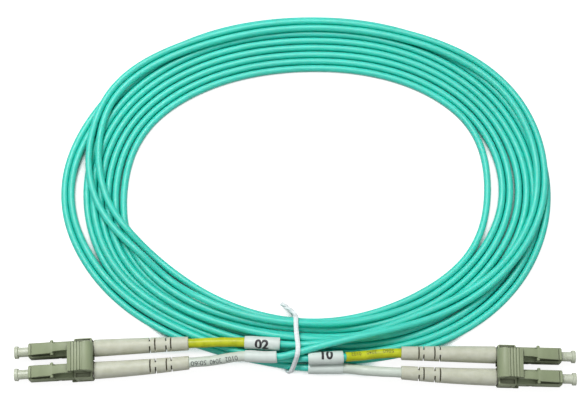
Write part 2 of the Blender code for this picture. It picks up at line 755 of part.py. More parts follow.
def trigger_outline():
    """Side view of the trigger: a rounded root, an arched back, a grooved top and a front lip."""
    outline = list(arc(TRIGGER_HINGE, 0.97, 180.0, 360.0, 8))
    outline += list(arc((-15.2, 4.35), 1.0, 180.0, 90.0, 4))
    outline += [(-11.6, 5.35), (-11.0, 5.45), (-10.9, 5.8), (-11.2, 6.05)]
    for k in range(4):
        x = -11.7 - 1.05 * k
        outline += [(x, 6.32), (x - 0.1, 6.02), (x - 0.35, 6.02), (x - 0.45, 6.38)]
    outline += list(arc((-15.9, 4.45), 2.2, 80.0, 165.0, 5))
    return outline


def make_trigger(end, pair):
    hinge_x, hinge_z = TRIGGER_HINGE
    outline = [(x - hinge_x, z - hinge_z) for x, z in trigger_outline()]
    shape = extruded(outline, TRIGGER_HALF_WIDTH)
    trigger = new_object("trigger_" + end, "housing", *shape, parent=pair, smooth=False)
    trigger.location = (hinge_x * METRES, 0.0, hinge_z * METRES)
    return trigger


# ---------------------------------------------------------------- assembly

def make_plug(end, row, pair):
    row_name = "front" if row == 1 else "back"
    tag = f"{end}_{row_name}"
    side = row * FRONT_SIDE[end]
    plug = new_empty("plug_" + tag, (0.0, side * PITCH / 2, 0.0), parent=pair)
    make_dust_cap(tag, plug)
    make_ferrule(tag, plug)
    make_holder(tag, plug)
    make_spring(tag, plug)
    make_housing(tag, plug)
    make_latch(tag, plug)
    make_back_post(tag, plug)
    make_yarn(tag, plug)
    make_crimp(tag, plug)
    make_boot(tag, plug, row, -side)


MIDDLE = (0.47, 1.83)         # of the bounding box, in the plan's own coordinates


def centre_on_origin():
    """Moves the whole object so that the origin is below the middle of its bounding box."""
    pieces = [obj for obj in bpy.data.objects if obj.parent is None]
    whole = new_empty("patch_cord", (-MIDDLE[0], -MIDDLE[1], 0.0))
    for obj in pieces:
        obj.parent = whole


def build():
    clear_scene()
    cords = [Cord(1), Cord(-1)]
    settle(cords)
    make_cord(cords[0], "outer")
    make_cord(cords[1], "inner")
    for end in ("left", "right"):
        pair = new_empty("end_" + end, (*END_FACE[end], AXIS_Z), END_TURN_DEG[end])
        make_clip(end, pair)
        make_trigger(end, pair)
        for cord, row_name in zip(cords, ("front", "back")):
            make_plug(end, cord.row, pair)
            make_sleeves(cord, end, row_name)
    make_tie(cords)
    centre_on_origin()
    bpy.context.view_layer.update()


build()
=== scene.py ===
"""Looks of the coiled duplex fibre optic patch cord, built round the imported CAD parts.

Lengths are millimetres, and become metres when a mesh is made. A plug's own frame has +X towards its
ferrule, +Z towards its latch, and its origin on the ferrule's axis at the plug's front face. A pair's
frame is the same, midway between its two plugs.
"""

import json
import math

import bmesh
import bpy
import numpy as np
from mathutils import Matrix, Vector


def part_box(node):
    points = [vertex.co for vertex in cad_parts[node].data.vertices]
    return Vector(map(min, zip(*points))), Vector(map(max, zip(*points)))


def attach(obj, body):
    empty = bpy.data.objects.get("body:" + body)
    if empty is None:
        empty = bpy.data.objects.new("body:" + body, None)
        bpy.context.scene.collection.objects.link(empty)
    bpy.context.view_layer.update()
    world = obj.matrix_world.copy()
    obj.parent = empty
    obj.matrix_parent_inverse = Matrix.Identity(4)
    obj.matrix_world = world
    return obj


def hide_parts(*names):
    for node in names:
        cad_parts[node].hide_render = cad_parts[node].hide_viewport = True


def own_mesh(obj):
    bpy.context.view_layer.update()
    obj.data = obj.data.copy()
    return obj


MM = 0.001

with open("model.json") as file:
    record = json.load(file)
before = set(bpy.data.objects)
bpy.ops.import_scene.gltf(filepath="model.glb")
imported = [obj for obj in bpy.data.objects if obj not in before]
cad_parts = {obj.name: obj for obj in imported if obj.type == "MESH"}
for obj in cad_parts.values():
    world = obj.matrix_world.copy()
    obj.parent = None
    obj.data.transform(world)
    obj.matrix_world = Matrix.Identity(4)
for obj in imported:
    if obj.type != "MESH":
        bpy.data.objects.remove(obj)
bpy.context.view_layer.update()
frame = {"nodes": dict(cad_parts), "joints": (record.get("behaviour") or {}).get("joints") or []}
joints = {joint["name"]: joint for joint in frame["joints"]}

ROOT = "cord_and_plugs"
ENDS = ("left", "right")
ROWS = ("front", "back")

# Places along a plug, on its own X, as in the CAD parts
LATCH_HINGE = (-1.35, 2.86)
TRIGGER_HINGE = (-17.2, 3.9)
FIBRE_TIP = -6.0
JACKET_END = -22.2
BODY_BACK = -17.5
CLIP_FRONT, CLIP_BACK = -12.6, -17.7
BOOT_FRONT, BOOT_TAIL = -17.95, -44.3
BOOT_LIFT, BOOT_PINCH = 1.25, 0.4
SLEEVE_FRONT = -41.7
SLEEVE_TAIL = {"front": -60.9, "back": -59.9}
MARKERS = {
    "left_front": (-60.15, -68.85), "left_back": (-59.85, -69.6),
    "right_front": (-60.70, -70.20), "right_back": (-60.70, -70.15),
}
PITCH = 6.25
CORD_R = 0.985
SLEEVE_R = {"front": 1.38, "back": 1.31}
MARKER_R = {"front": 1.60, "back": 1.76}
SLEEVE_BORE_R, MARKER_BORE_R = 1.03, 1.43


# ---- node materials

class Nodes:
    """A short way to write a material's node tree."""

    def __init__(self, name):
        self.material = bpy.data.materials.new(name)
        self.material.use_nodes = True
        self.tree = self.material.node_tree
        self.shader = self.tree.nodes["Principled BSDF"]
        self.place = self.new("ShaderNodeTexCoord").outputs["Object"]
        self.along = self.new("ShaderNodeTexCoord").outputs["UV"]

    def new(self, kind, **settings):
        node = self.tree.nodes.new(kind)
        for key, value in settings.items():
            setattr(node, key, value)
        return node

    def feed(self, socket, value):
        if isinstance(value, bpy.types.NodeSocket):
            self.tree.links.new(value, socket)
        else:
            socket.default_value = value

    def noise(self, size, detail=3.0, stretch=None, where=None):
        """Noise with features about size mm across, from 0 to 1."""
        node = self.new("ShaderNodeTexNoise")
        where = where or self.place
        if stretch:
            mapping = self.new("ShaderNodeMapping")
            self.feed(mapping.inputs["Vector"], where)
            mapping.inputs["Scale"].default_value = stretch
            where = mapping.outputs["Vector"]
        self.feed(node.inputs["Vector"], where)
        node.inputs["Scale"].default_value = 1.0 / (size * MM)
        node.inputs["Detail"].default_value = detail
        node.inputs["Roughness"].default_value = 0.55
        return node.outputs["Fac"]

    def wave(self, pitch, direction, distortion, where=None):
        """Bands pitch mm apart, from 0 to 1."""
        node = self.new("ShaderNodeTexWave", bands_direction=direction)
        self.feed(node.inputs["Vector"], where or self.along)
        node.inputs["Scale"].default_value = 1.0 / (pitch * MM) / math.tau * 0.98
        node.inputs["Distortion"].default_value = distortion
        return node.outputs["Fac"]

    def spread(self, value, low, high, start=0.0, end=1.0):
        """A value from start to end becomes one from low to high."""
        node = self.new("ShaderNodeMapRange")
        self.feed(node.inputs["Value"], value)
        node.inputs["From Min"].default_value = start
        node.inputs["From Max"].default_value = end
        node.inputs["To Min"].default_value = low
        node.inputs["To Max"].default_value = high
        return node.outputs["Result"]

    def patches(self, size, detail=3.0, stretch=None):
        """Soft patches about size mm across, from 0 to 1."""
        return self.spread(self.noise(size, detail, stretch), 0, 1, 0.35, 0.65)

    def gloss(self, low, high, size, detail=3.0):
        """Roughness that drifts between low and high in patches about size mm across."""
        return self.spread(self.noise(size, detail), low, high, 0.3, 0.7)

    def specks(self, share, size, detail, start, end):
        """Sparse marks about size mm across, where the noise is over start, up to share."""
        return self.spread(self.noise(size, detail), 0, share, start, end)

    def add(self, a, b, operation="ADD"):
        node = self.new("ShaderNodeMath", operation=operation)
        self.feed(node.inputs[0], a)
        self.feed(node.inputs[1], b)
        return node.outputs[0]

    def mix(self, share, a, b, blend="MIX"):
        node = self.new("ShaderNodeMix", data_type="RGBA", blend_type=blend)
        self.feed(node.inputs[0], share)
        self.feed(node.inputs[6], (*a, 1.0) if isinstance(a, tuple) else a)
        self.feed(node.inputs[7], (*b, 1.0) if isinstance(b, tuple) else b)
        return node.outputs[2]

    def openness(self, reach, closed=0.15, clear=0.85):
        """1 on open surfaces, towards 0 in corners and gaps narrower than reach mm."""
        node = self.new("ShaderNodeAmbientOcclusion", samples=8)
        node.inputs["Distance"].default_value = reach * MM
        return self.spread(node.outputs["AO"], 0.0, 1.0, closed, clear)

    def painted_crevice_shade(self, colour, openness, painted_shade):
        """The colour, times a painted shade colour where it is closed in: painted shade in corners and gaps.
        """
        shade = self.mix(openness, painted_shade, (1.0, 1.0, 1.0))
        return self.mix(1.0, colour, shade, "MULTIPLY")

    def bump(self, *layers):
        """Layers of (height 0 to 1, depth in mm), added together."""
        total = None
        for height, depth in layers:
            part = self.add(height, depth * MM, "MULTIPLY")
            total = self.add(total, part) if total is not None else part
        node = self.new("ShaderNodeBump")
        node.inputs["Strength"].default_value = 1.0
        node.inputs["Distance"].default_value = 1.0
        self.feed(node.inputs["Height"], total)
        self.feed(self.shader.inputs["Normal"], node.outputs["Normal"])

    def finish(self, colour, roughness, **more):
        self.feed(self.shader.inputs["Base Color"], colour)
        self.feed(self.shader.inputs["Roughness"], roughness)
        for key, value in more.items():
            self.feed(self.shader.inputs[key.replace("_", " ")], value)
        return self.material


def tint(colour, factor):
    return tuple(min(1.0, c * factor) for c in colour)


def translucent(weight, reach, red, green, blue):
    """Settings for light that passes up to reach mm through the plastic, by colour."""
    colours = (red, green, blue)
    return {"Subsurface_Weight": weight, "Subsurface_Radius": colours, "Subsurface_Scale": reach * MM}


def jacket_material():
    aqua = (0.045, 0.625, 0.505)
    n = Nodes("aqua_jacket")
    drift = n.mix(n.patches(38.0, 2.0), tint(aqua, 0.93), (0.044, 0.65, 0.53))
    cloud = n.mix(n.specks(0.35, 2.2, 3.0, 0.4, 0.7), drift, (0.075, 0.68, 0.575))
    colour = n.mix(n.specks(0.35, 0.22, 1.0, 0.70, 0.78), cloud, (0.010, 0.45, 0.36))
    # Painted shade: in gaps between cords the colour loses most of its red, and the reflection is weaker
    # there too.
    openness = n.openness(1.2)
    colour = n.painted_crevice_shade(colour, openness, (0.20, 1.0, 0.97))
    draw_lines = n.noise(1.0, 2.0, (0.05, 4.0, 1.0), n.along)
    n.bump((draw_lines, 0.010), (n.noise(0.16, 3.0), 0.006), (n.noise(1.4, 2.0), 0.020))
    return n.finish(colour, n.gloss(0.42, 0.58, 1.1), Specular_IOR_Level=n.spread(openness, 0.15, 0.95),
                    Specular_Tint=(0.90, 1.0, 0.97, 1.0), **translucent(0.90, 2.2, 0.1, 1.0, 0.9))


def moulded_material():
    olive, pale, edge_tone = (0.255, 0.305, 0.176), (0.33, 0.375, 0.24), (0.42, 0.46, 0.32)
    # Colour of the painted shade in corners, recesses and gaps, such as under the latch.
    painted_shade = (0.13, 0.12, 0.08)
    n = Nodes("moulded_plug_plastic")
    flow = n.mix(n.patches(3.2, 3.0, (1.0, 0.5, 1.0)), tint(olive, 0.95), tint(olive, 1.07))
    colour = n.mix(n.specks(0.4, 0.09, 2.0, 0.5, 0.8), flow, pale)
    # Convex edges are painted a lighter tone.
    edges = n.spread(n.new("ShaderNodeNewGeometry").outputs["Pointiness"], 0, 0.55, 0.515, 0.60)
    colour = n.painted_crevice_shade(n.mix(edges, colour, edge_tone), n.openness(2.6, 0.22, 0.92), painted_shade)
    n.bump((n.noise(0.11, 3.0), 0.010), (n.noise(1.8, 2.0), 0.012))
    return n.finish(colour, n.gloss(0.40, 0.58, 0.6), Specular_IOR_Level=0.45,
                    **translucent(0.03, 0.4, 1.0, 1.0, 0.7))


def boot_material():
    bone = (0.555, 0.570, 0.450)
    n = Nodes("boot_elastomer")
    mottle = n.mix(n.patches(2.6, 4.0), tint(bone, 0.95), (0.595, 0.61, 0.505))
    colour = n.mix(n.specks(0.3, 0.25, 2.0, 0.62, 0.78), mottle, (0.48, 0.485, 0.36))
    # Painted shade: the floors of the slots are painted near black, and the bore BORE_SHADE of the way to
    # it.
    slot = n.new("ShaderNodeAttribute", attribute_name="slot").outputs["Fac"]
    colour = n.mix(slot, colour, (0.13, 0.115, 0.07))
    # Painted shade in corners and gaps.
    colour = n.painted_crevice_shade(colour, n.openness(0.9), (0.52, 0.50, 0.36))
    rings = n.wave(0.9, "X", 1.5)
    n.bump((n.noise(0.14, 3.0), 0.012), (rings, 0.003), (n.noise(1.6, 2.0), 0.02))
    return n.finish(colour, n.gloss(0.44, 0.62, 0.8), Specular_IOR_Level=0.38,
                    **translucent(0.18, 0.8, 1.0, 0.95, 0.7))


def cap_material():
    n = Nodes("cap_polythene")
    colour = n.mix(n.patches(1.5), (0.54, 0.585, 0.45), (0.64, 0.68, 0.56))
    turned_lines = n.wave(0.12, "X", 0.6, n.place)
    n.bump((n.noise(0.12, 2.0), 0.006), (turned_lines, 0.002))
    return n.finish(colour, n.gloss(0.28, 0.45, 0.5, 2.0), Transmission_Weight=0.08, IOR=1.5,
                    **translucent(0.35, 1.0, 1.0, 1.0, 0.9))


def yellow_material():
    yellow = (0.48, 0.54, 0.010)
    n = Nodes("yellow_shrink_sleeve")
    colour = n.mix(n.patches(3.0), tint(yellow, 0.9), (0.58, 0.63, 0.018))
    colour = n.mix(n.specks(0.45, 0.5, 3.0, 0.56, 0.76), colour, (0.33, 0.36, 0.008))
    n.bump((n.noise(0.3, 3.0, (0.4, 1.0, 1.0), n.along), 0.012), (n.noise(1.5, 2.0), 0.035))
    return n.finish(colour, n.gloss(0.30, 0.46, 0.9, 2.0), Specular_IOR_Level=0.35,
                    **translucent(0.1, 0.6, 1.0, 0.9, 0.1))


def white_material(name, white, shade):
    n = Nodes(name)
    colour = n.mix(n.patches(2.4), white, tint(white, 1.06))
    colour = n.mix(n.specks(0.30, 0.3, 2.0, 0.62, 0.80), colour, shade)
    n.bump((n.noise(0.22, 3.0), 0.008), (n.noise(1.6, 2.0), 0.030))
    return n.finish(colour, n.gloss(0.38, 0.56, 0.9, 2.0), **translucent(0.12, 0.6, 1.0, 1.0, 1.0))


def tie_material():
    n = Nodes("tie_ribbon")
    ribs = n.wave(0.42, "X", 2.0)
    cross = n.wave(0.30, "Y", 1.0)
    colour = n.mix(n.patches(0.7), (0.78, 0.85, 0.86), (0.88, 0.92, 0.93))
    colour = n.mix(n.add(ribs, 0.25, "MULTIPLY"), colour, (0.62, 0.68, 0.71))
    n.bump((ribs, 0.045), (cross, 0.02), (n.noise(0.2, 3.0), 0.015))
    return n.finish(colour, n.gloss(0.4, 0.6, 0.4, 2.0))


def ink_material(name, ink, faded):
    n = Nodes(name)
    wear = n.spread(n.noise(0.22, 3.0), 0, 1, 0.45, 0.72)
    n.bump((n.noise(0.15, 2.0), 0.004))
    return n.finish(n.mix(wear, ink, faded), n.gloss(0.45, 0.65, 0.3, 2.0))


def metal_material():
    n = Nodes("nickel_plated_metal")
    lines = n.noise(0.5, 3.0, (0.1, 3.0, 3.0))
    colour = n.mix(n.spread(lines, 0, 1, 0.3, 0.7), (0.60, 0.58, 0.53), (0.78, 0.76, 0.71))
    n.bump((lines, 0.004), (n.noise(0.1, 2.0), 0.002))
    return n.finish(colour, n.spread(lines, 0.22, 0.40, 0.3, 0.7), Metallic=1.0)


def ceramic_material():
    n = Nodes("zirconia_ceramic")
    colour = n.mix(n.patches(0.6, 2.0), (0.86, 0.85, 0.80), (0.93, 0.92, 0.88))
    n.bump((n.noise(0.05, 2.0), 0.0006))
    return n.finish(colour, n.gloss(0.10, 0.20, 0.3, 2.0), **translucent(0.2, 0.5, 1.0, 0.95, 0.85))


def yarn_material():
    n = Nodes("aramid_yarn")
    strands = n.noise(0.12, 3.0, (0.1, 1.0, 1.0))
    colour = n.mix(n.spread(strands, 0, 1, 0.3, 0.7), (0.55, 0.42, 0.08), (0.85, 0.70, 0.24))
    n.bump((strands, 0.04))
    return n.finish(colour, n.spread(strands, 0.6, 0.85, 0.3, 0.7), Sheen_Weight=0.4)


def floor_material():
    """White paper. To the camera it glows as if lit by itself, and only in gaps between cords it gets
    painted dark aqua shade and a painted aqua glow of light bounced off the cords.
    """
    n = Nodes("studio_paper")
    white, aqua_shade, aqua_glow = (1.0, 1.0, 1.0), (0.0, 0.10, 0.08), (0.0, 0.55, 0.44)
    paper = n.mix(n.patches(60.0, 2.0), (0.54, 0.54, 0.54), (0.58, 0.58, 0.58))
    n.bump((n.noise(0.5, 3.0), 0.01))
    seen = n.new("ShaderNodeLightPath").outputs["Is Camera Ray"]
    # Where the floor is closed in by cords, within 5 mm, it gets the painted shade and the painted aqua
    # glow.
    shelter = n.new("ShaderNodeAmbientOcclusion", samples=8, only_local=False)
    shelter.inputs["Distance"].default_value = 5.0 * MM
    open_share = n.spread(shelter.outputs["AO"], 0, 1, 0.27, 0.50)
    split = n.new("ShaderNodeSeparateXYZ")
    n.feed(split.inputs["Vector"], n.place)
    # The floor under the plugs, away from the tie, keeps no painted gap shade.
    beyond_tie = n.spread(n.add(split.outputs["X"], 0.0, "ABSOLUTE"), 0, 1, 0.016, 0.024)
    at_plugs = n.spread(split.outputs["Y"], 1, 0, -0.047, -0.043)
    share = n.add(open_share, n.add(beyond_tie, at_plugs, "MULTIPLY"), "MAXIMUM")
    colour = n.mix(seen, paper, n.mix(share, aqua_shade, tint(white, FLOOR_SEEN)))
    glow = n.add(n.add(seen, FLOOR_GLOW, "MULTIPLY"), n.spread(share, 0.08, 1.0), "MULTIPLY")
    return n.finish(colour, n.gloss(0.75, 0.9, 3.0, 2.0), Specular_IOR_Level=0.1,
                    Emission_Color=n.mix(share, aqua_glow, white), Emission_Strength=glow)


FLOOR_GLOW, FLOOR_SEEN = 0.88, 0.34

LOOKS = {
    "jacket": jacket_material(),
    "moulded": moulded_material(),
    "boot": boot_material(),
    "cap": cap_material(),
    "yellow": yellow_material(),
    "white": white_material("white_shrink_sleeve", (0.57, 0.64, 0.57), (0.40, 0.46, 0.40)),
    "marker": white_material("marker_tube", (0.62, 0.70, 0.66), (0.48, 0.55, 0.52)),
    "tie": tie_material(),
    "ink": ink_material("black_ink", (0.012, 0.012, 0.014), (0.05, 0.05, 0.055)),
    "grey_ink": ink_material("worn_grey_ink", (0.10, 0.12, 0.11), (0.34, 0.37, 0.34)),
    "olive_ink": ink_material("worn_olive_ink", (0.10, 0.10, 0.01), (0.30, 0.31, 0.02)),
    "metal": metal_material(),
    "ceramic": ceramic_material(),
    "yarn": yarn_material(),
    "buffer": white_material("fibre_buffer", (0.70, 0.71, 0.64), (0.6, 0.6, 0.52)),
}


# ---- meshes

def add_object(name, data):
    obj = bpy.data.objects.new(name, data)
    bpy.context.collection.objects.link(obj)
    return obj


def bake(obj):
    """Gives the object a mesh of its own with its modifiers applied."""
    bpy.context.view_layer.update()
    graph = bpy.context.evaluated_depsgraph_get()
    baked = bpy.data.meshes.new_from_object(obj.evaluated_get(graph))
    obj.modifiers.clear()
    obj.data = baked


def new_piece(name, points, faces, look, attribute=None, uv=None):
    """An object of one closed surface. attribute is (name, value per point), uv a pair per point."""
    mesh = bpy.data.meshes.new(name)
    mesh.from_pydata([tuple(float(c) * MM for c in p) for p in points], [], [tuple(f) for f in faces])
    mesh.validate()
    if attribute:
        layer = mesh.attributes.new(attribute[0], "FLOAT", "POINT")
        layer.data.foreach_set("value", np.asarray(attribute[1], np.float32))
    if uv is not None:
        uv = np.asarray(uv, float) * MM
        layer = mesh.uv_layers.new(name="along")
        corners = np.zeros(len(mesh.loops), int)
        mesh.loops.foreach_get("vertex_index", corners)
        layer.data.foreach_set("uv", uv[corners].ravel())
    surface = bmesh.new()
    surface.from_mesh(mesh)
    bmesh.ops.recalc_face_normals(surface, faces=surface.faces)
    surface.to_mesh(mesh)
    surface.free()
    mesh.materials.append(LOOKS[look])
    return add_object(name, mesh)


def settle(obj, placed, body, nodes, smooth_deg=35.0):
    """Moves the finished mesh into place and hands the piece to its body."""
    bake(obj)
    if placed is not None:
        obj.data.transform(placed)
    obj.data.shade_smooth()
    obj.data.set_sharp_from_angle(angle=math.radians(smooth_deg))
    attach(obj, body)
    if nodes:
        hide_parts(*nodes)


def bridged(rings, loop=False):
    """Points and faces of a skin over rings of equal count."""
    count = len(rings[0])
    points = [tuple(p) for ring in rings for p in ring]
    faces = []
    spans = len(rings) if loop else len(rings) - 1
    for k in range(spans):
        here, after = k * count, (k + 1) % len(rings) * count
        for i in range(count):
            j = (i + 1) % count
            faces.append((here + i, here + j, after + j, after + i))
    if not loop:
        faces.append(tuple(range(count)))
        faces.append(tuple((len(rings) - 1) * count + i for i in range(count)))
    return points, faces


def rounded_ring(half_y, low, high, radius, steps=3):
    """A rounded rectangle in Y and Z, anticlockwise, as (y, z)."""
    radius = min(radius, half_y * 0.95, (high - low) * 0.48)
    ring = []
    corners = ((half_y - radius, high - radius, 0.0), (radius - half_y, high - radius, 90.0),
               (radius - half_y, low + radius, 180.0), (half_y - radius, low + radius, 270.0))
    for y, z, start in corners:
        for k in range(steps + 1):
            angle = math.radians(start + 90.0 * k / steps)
            ring.append((y + radius * math.cos(angle), z + radius * math.sin(angle)))
    return ring


def turned(profile, sides):
    """Turns a profile of (x, radius) about X: a closed loop, or from radius 0 to radius 0."""
    on_axis = profile[0][1] == 0.0
    points, places = [], []
    for x, radius in profile:
        if radius == 0.0:
            places.append([len(points)] * sides)
            points.append((x, 0.0, 0.0))
            continue
        places.append([len(points) + i for i in range(sides)])
        for i in range(sides):
            angle = math.tau * i / sides
            points.append((x, radius * math.cos(angle), radius * math.sin(angle)))
    faces = []
    for k in range(len(profile) - 1 if on_axis else len(profile)):
        here, after = places[k], places[(k + 1) % len(profile)]
        for i in range(sides):
            j = (i + 1) % sides
            faces.append(tuple(dict.fromkeys((here[i], here[j], after[j], after[i]))))
    return points, faces


def rounded_profile(corners, radius):
    """A closed or open profile with its corners rounded off."""
    result = []
    count = len(corners)
    open_ends = corners[0][1] == 0.0
    for k, corner in enumerate(corners):
        here = Vector(corner)
        if open_ends and k in (0, count - 1):
            result.append(tuple(here))
            continue
        before = Vector(corners[k - 1]) - here
        after = Vector(corners[(k + 1) % count]) - here
        reach = min(radius, before.length * 0.45, after.length * 0.45)
        start, end = here + before.normalized() * reach, here + after.normalized() * reach
        for t in (0.0, 1 / 3, 2 / 3, 1.0):
            result.append(tuple((1 - t) ** 2 * start + 2 * t * (1 - t) * here + t * t * end))
    return result


def box_mesh(name, low, high):
    """A box, mostly a tool for boolean(). Low and high are opposite corners, in either order."""
    low, high = [min(c) for c in zip(low, high)], [max(c) for c in zip(low, high)]
    corners = [(x, y, z) for x in (low[0], high[0]) for y in (low[1], high[1]) for z in (low[2], high[2])]
    faces = [(0, 1, 3, 2), (4, 6, 7, 5), (0, 4, 5, 1), (2, 3, 7, 6), (0, 2, 6, 4), (1, 5, 7, 3)]
    return new_piece(name, corners, faces, "moulded")


def boolean(obj, other, operation="DIFFERENCE"):
    step = obj.modifiers.new(operation.lower(), "BOOLEAN")
    step.operation = operation
    step.solver = "EXACT"
    step.object = other
    bake(obj)
    bpy.data.objects.remove(other)


def bevel(obj, width, segments):
    step = obj.modifiers.new("bevel", "BEVEL")
    step.width = width * MM
    step.segments = segments
    step.limit_method = "ANGLE"
    step.angle_limit = math.radians(35.0)
    step.use_clamp_overlap = True


# ---- frames of the plugs

def frame_matrix(ahead, left, hinge, hinge_x, hinge_z):
    """The frame with these directions in which the hinge lies at hinge_x, hinge_z."""
    ahead, left = Vector(ahead).normalized(), Vector(left).normalized()
    up = ahead.cross(left)
    origin = Vector(hinge) - ahead * hinge_x * MM - up * hinge_z * MM
    matrix = Matrix.Identity(4)
    for k, column in enumerate((ahead, left, up, origin)):
        matrix.col[k][:3] = column
    return matrix


def plug_frame(tag):
    hinge = joints[f"latch_{tag}_bend"]
    return frame_matrix(joints[f"dust_cap_{tag}_pull"]["axis"], hinge["axis"], hinge["pos_m"], *LATCH_HINGE)


def pair_frame(end):
    hinge = joints[f"trigger_{end}_press"]
    ahead = joints[f"dust_cap_{end}_front_pull"]["axis"]
    return frame_matrix(ahead, hinge["axis"], hinge["pos_m"], *TRIGGER_HINGE)


# ---- lines of the two cords

def layers_from(node, start):
    """Mean points of a long node's rings in order, from the end nearest to start. The node is a tube
    whose rings join only their neighbours, so each ring is one step further along the edges."""
    mesh = node.data
    points = np.array([v.co for v in mesh.vertices], float)
    _, first, same = np.unique(np.round(points, 7), axis=0, return_index=True, return_inverse=True)
    same = same.ravel()
    points = points[first]
    near = [set() for _ in points]
    for edge in mesh.edges:
        a, b = (same[v] for v in edge.vertices)
        if a != b:
            near[a].add(b)
            near[b].add(a)
    order = np.argsort(np.linalg.norm(points - np.array(start), axis=1))
    ring = {int(v) for v in order[:3]}
    seen = set(ring)
    centres = []
    while ring:
        centres.append(points[sorted(ring)].mean(axis=0))
        ring = {v for u in ring for v in near[u]} - seen
        seen |= ring
    return np.array(centres) / MM


def spline(knots, values, at):
    """Natural cubic spline through values at rising knots, read at the places in at."""
    step = np.diff(knots)
    count = len(knots)
    matrix = np.eye(count)
    right = np.zeros((count, values.shape[1]))
    slope = np.diff(values, axis=0) / step[:, None]
    for k in range(1, count - 1):
        matrix[k, k - 1:k + 2] = step[k - 1], 2 * (step[k - 1] + step[k]), step[k]
        right[k] = 6 * (slope[k] - slope[k - 1])
    bend = np.linalg.solve(matrix, right)
    span = np.clip(np.searchsorted(knots, at, side="right") - 1, 0, count - 2)
    width = step[span][:, None]
    after = (at - knots[span])[:, None] / width
    before = 1.0 - after
    curve = (before ** 3 - before) * bend[span] + (after ** 3 - after) * bend[span + 1]
    return before * values[span] + after * values[span + 1] + curve * width ** 2 / 6


class Line:
    """A smooth line through points, read by the distance along it."""

    STEP = 0.4

    def __init__(self, points):
        knots = np.concatenate([[0.0], np.cumsum(np.linalg.norm(np.diff(points, axis=0), axis=1))])
        at = np.arange(0.0, knots[-1], self.STEP)
        self.points = spline(knots, points, at)
        steps = np.linalg.norm(np.diff(self.points, axis=0), axis=1)
        self.distance = np.concatenate([[0.0], np.cumsum(steps)])
        self.length = self.distance[-1]

    def frames(self, at):
        """Centre, level sideways direction and upward direction at distances along the line."""

        def read(values):
            return np.column_stack([np.interp(at, self.distance, c) for c in values.T])

        centre, ahead = read(self.points), read(np.gradient(self.points, axis=0))
        ahead /= np.linalg.norm(ahead, axis=1)[:, None]
        side = np.cross((0.0, 0.0, 1.0), ahead)
        side /= np.linalg.norm(side, axis=1)[:, None]
        return centre, side, np.cross(ahead, side)

    def plug_place(self, end, x):
        """Distance along the line of the place at x on the plug at one end."""
        reach = FIBRE_TIP - x
        return reach if end == "right" else self.length - reach


def cord_line(name, row):
    tip = plug_frame(f"right_{row}") @ Vector((FIBRE_TIP * MM, 0.0, 0.0))
    return Line(layers_from(frame["nodes"][f"buffered_fibre_{name}"], tip))


LINES = {"front": cord_line("outer", "front"), "back": cord_line("inner", "back")}


def sheath(name, line, profile, look, sides, loop=True, squash=0.0):
    """A tube along a line from a profile of (distance, radius), wider than high by squash."""
    centre, side, up = line.frames([s for s, _ in profile])
    points, uv = [], []
    for (s, radius), c, a, b in zip(profile, centre, side, up):
        for i in range(sides):
            angle = math.tau * i / sides
            r = radius * (1.0 + squash * math.cos(2 * angle))
            points.append(c + r * (math.cos(angle) * a + math.sin(angle) * b))
            uv.append((s, radius * angle))
    rings = [points[k * sides:(k + 1) * sides] for k in range(len(profile))]
    flat, faces = bridged(rings, loop=loop)
    return new_piece(name, flat, faces, look, uv=uv)


# ---- cords and sleeves

JACKET_STEP, SLEEVE_STEP = 0.8, 0.6
SWELL_PHASE = {"front": 1.0, "back": 2.0, "left": 0.7, "right": 1.9}
SLEEVE_LIP = 0.10


def jacket_radius(s, phase):
    """The jacket swells and thins very slightly along its length."""
    return CORD_R + 0.006 * math.sin(s / 7.3 + phase) + 0.004 * math.sin(s / 2.9 + 2 * phase)


def make_jacket(row, name):
    line = LINES[row]
    start, end = line.plug_place("right", JACKET_END), line.plug_place("left", JACKET_END)
    at = np.linspace(start, end, int((end - start) / JACKET_STEP))
    profile = [(s, jacket_radius(s, SWELL_PHASE[row])) for s in at]
    obj = sheath("cord_" + name, line, profile, "jacket", sides=18, loop=False)
    settle(obj, None, ROOT, [f"cord_jacket_{name}"])


def tube_profile(line, end, front, tail, outer, inner, swell):
    """A sleeve's closed profile: outside, rounded lips and bore, from its plug side to its tail."""
    xs = np.linspace(front, tail, max(3, int(abs(tail - front) / SLEEVE_STEP)))
    small = 0.3 * SLEEVE_LIP
    profile = [(front, inner)]
    profile += [(front, outer - SLEEVE_LIP + swell(front)), (front - small, outer - small + swell(front))]
    profile += [(front - SLEEVE_LIP, outer + swell(front))]
    profile += [(x, outer + swell(x)) for x in xs[1:-1]]
    profile += [(tail + SLEEVE_LIP, outer + swell(tail)), (tail + small, outer - small + swell(tail))]
    profile += [(tail, outer - SLEEVE_LIP + swell(tail)), (tail, inner)]
    profile += [(x, inner) for x in xs[1:-1][::-1]]
    return [(line.plug_place(end, x), r) for x, r in profile]


def make_sleeves(end, row):
    line = LINES[row]
    tag = f"{end}_{row}"
    phase = SWELL_PHASE[end]

    def shrunk(x):
        return 0.018 * math.sin(x * 1.15 + phase) + 0.012 * math.sin(x * 2.7 + 2 * phase)

    def slack(x):
        return 0.02 * math.sin(x + phase)

    kind = "white" if row == "front" else "yellow"
    profile = tube_profile(line, end, SLEEVE_FRONT, SLEEVE_TAIL[row], SLEEVE_R[row], SLEEVE_BORE_R, shrunk)
    sleeve = sheath("id_sleeve_" + tag, line, profile, kind, sides=32)
    settle(sleeve, None, ROOT, ["id_sleeve_" + tag])
    profile = tube_profile(line, end, *MARKERS[tag], MARKER_R[row], MARKER_BORE_R, slack)
    marker = sheath("marker_" + tag, line, profile, "marker", sides=40, squash=0.025)
    settle(marker, None, ROOT, ["marker_sleeve_" + tag])


# ---- printed numbers

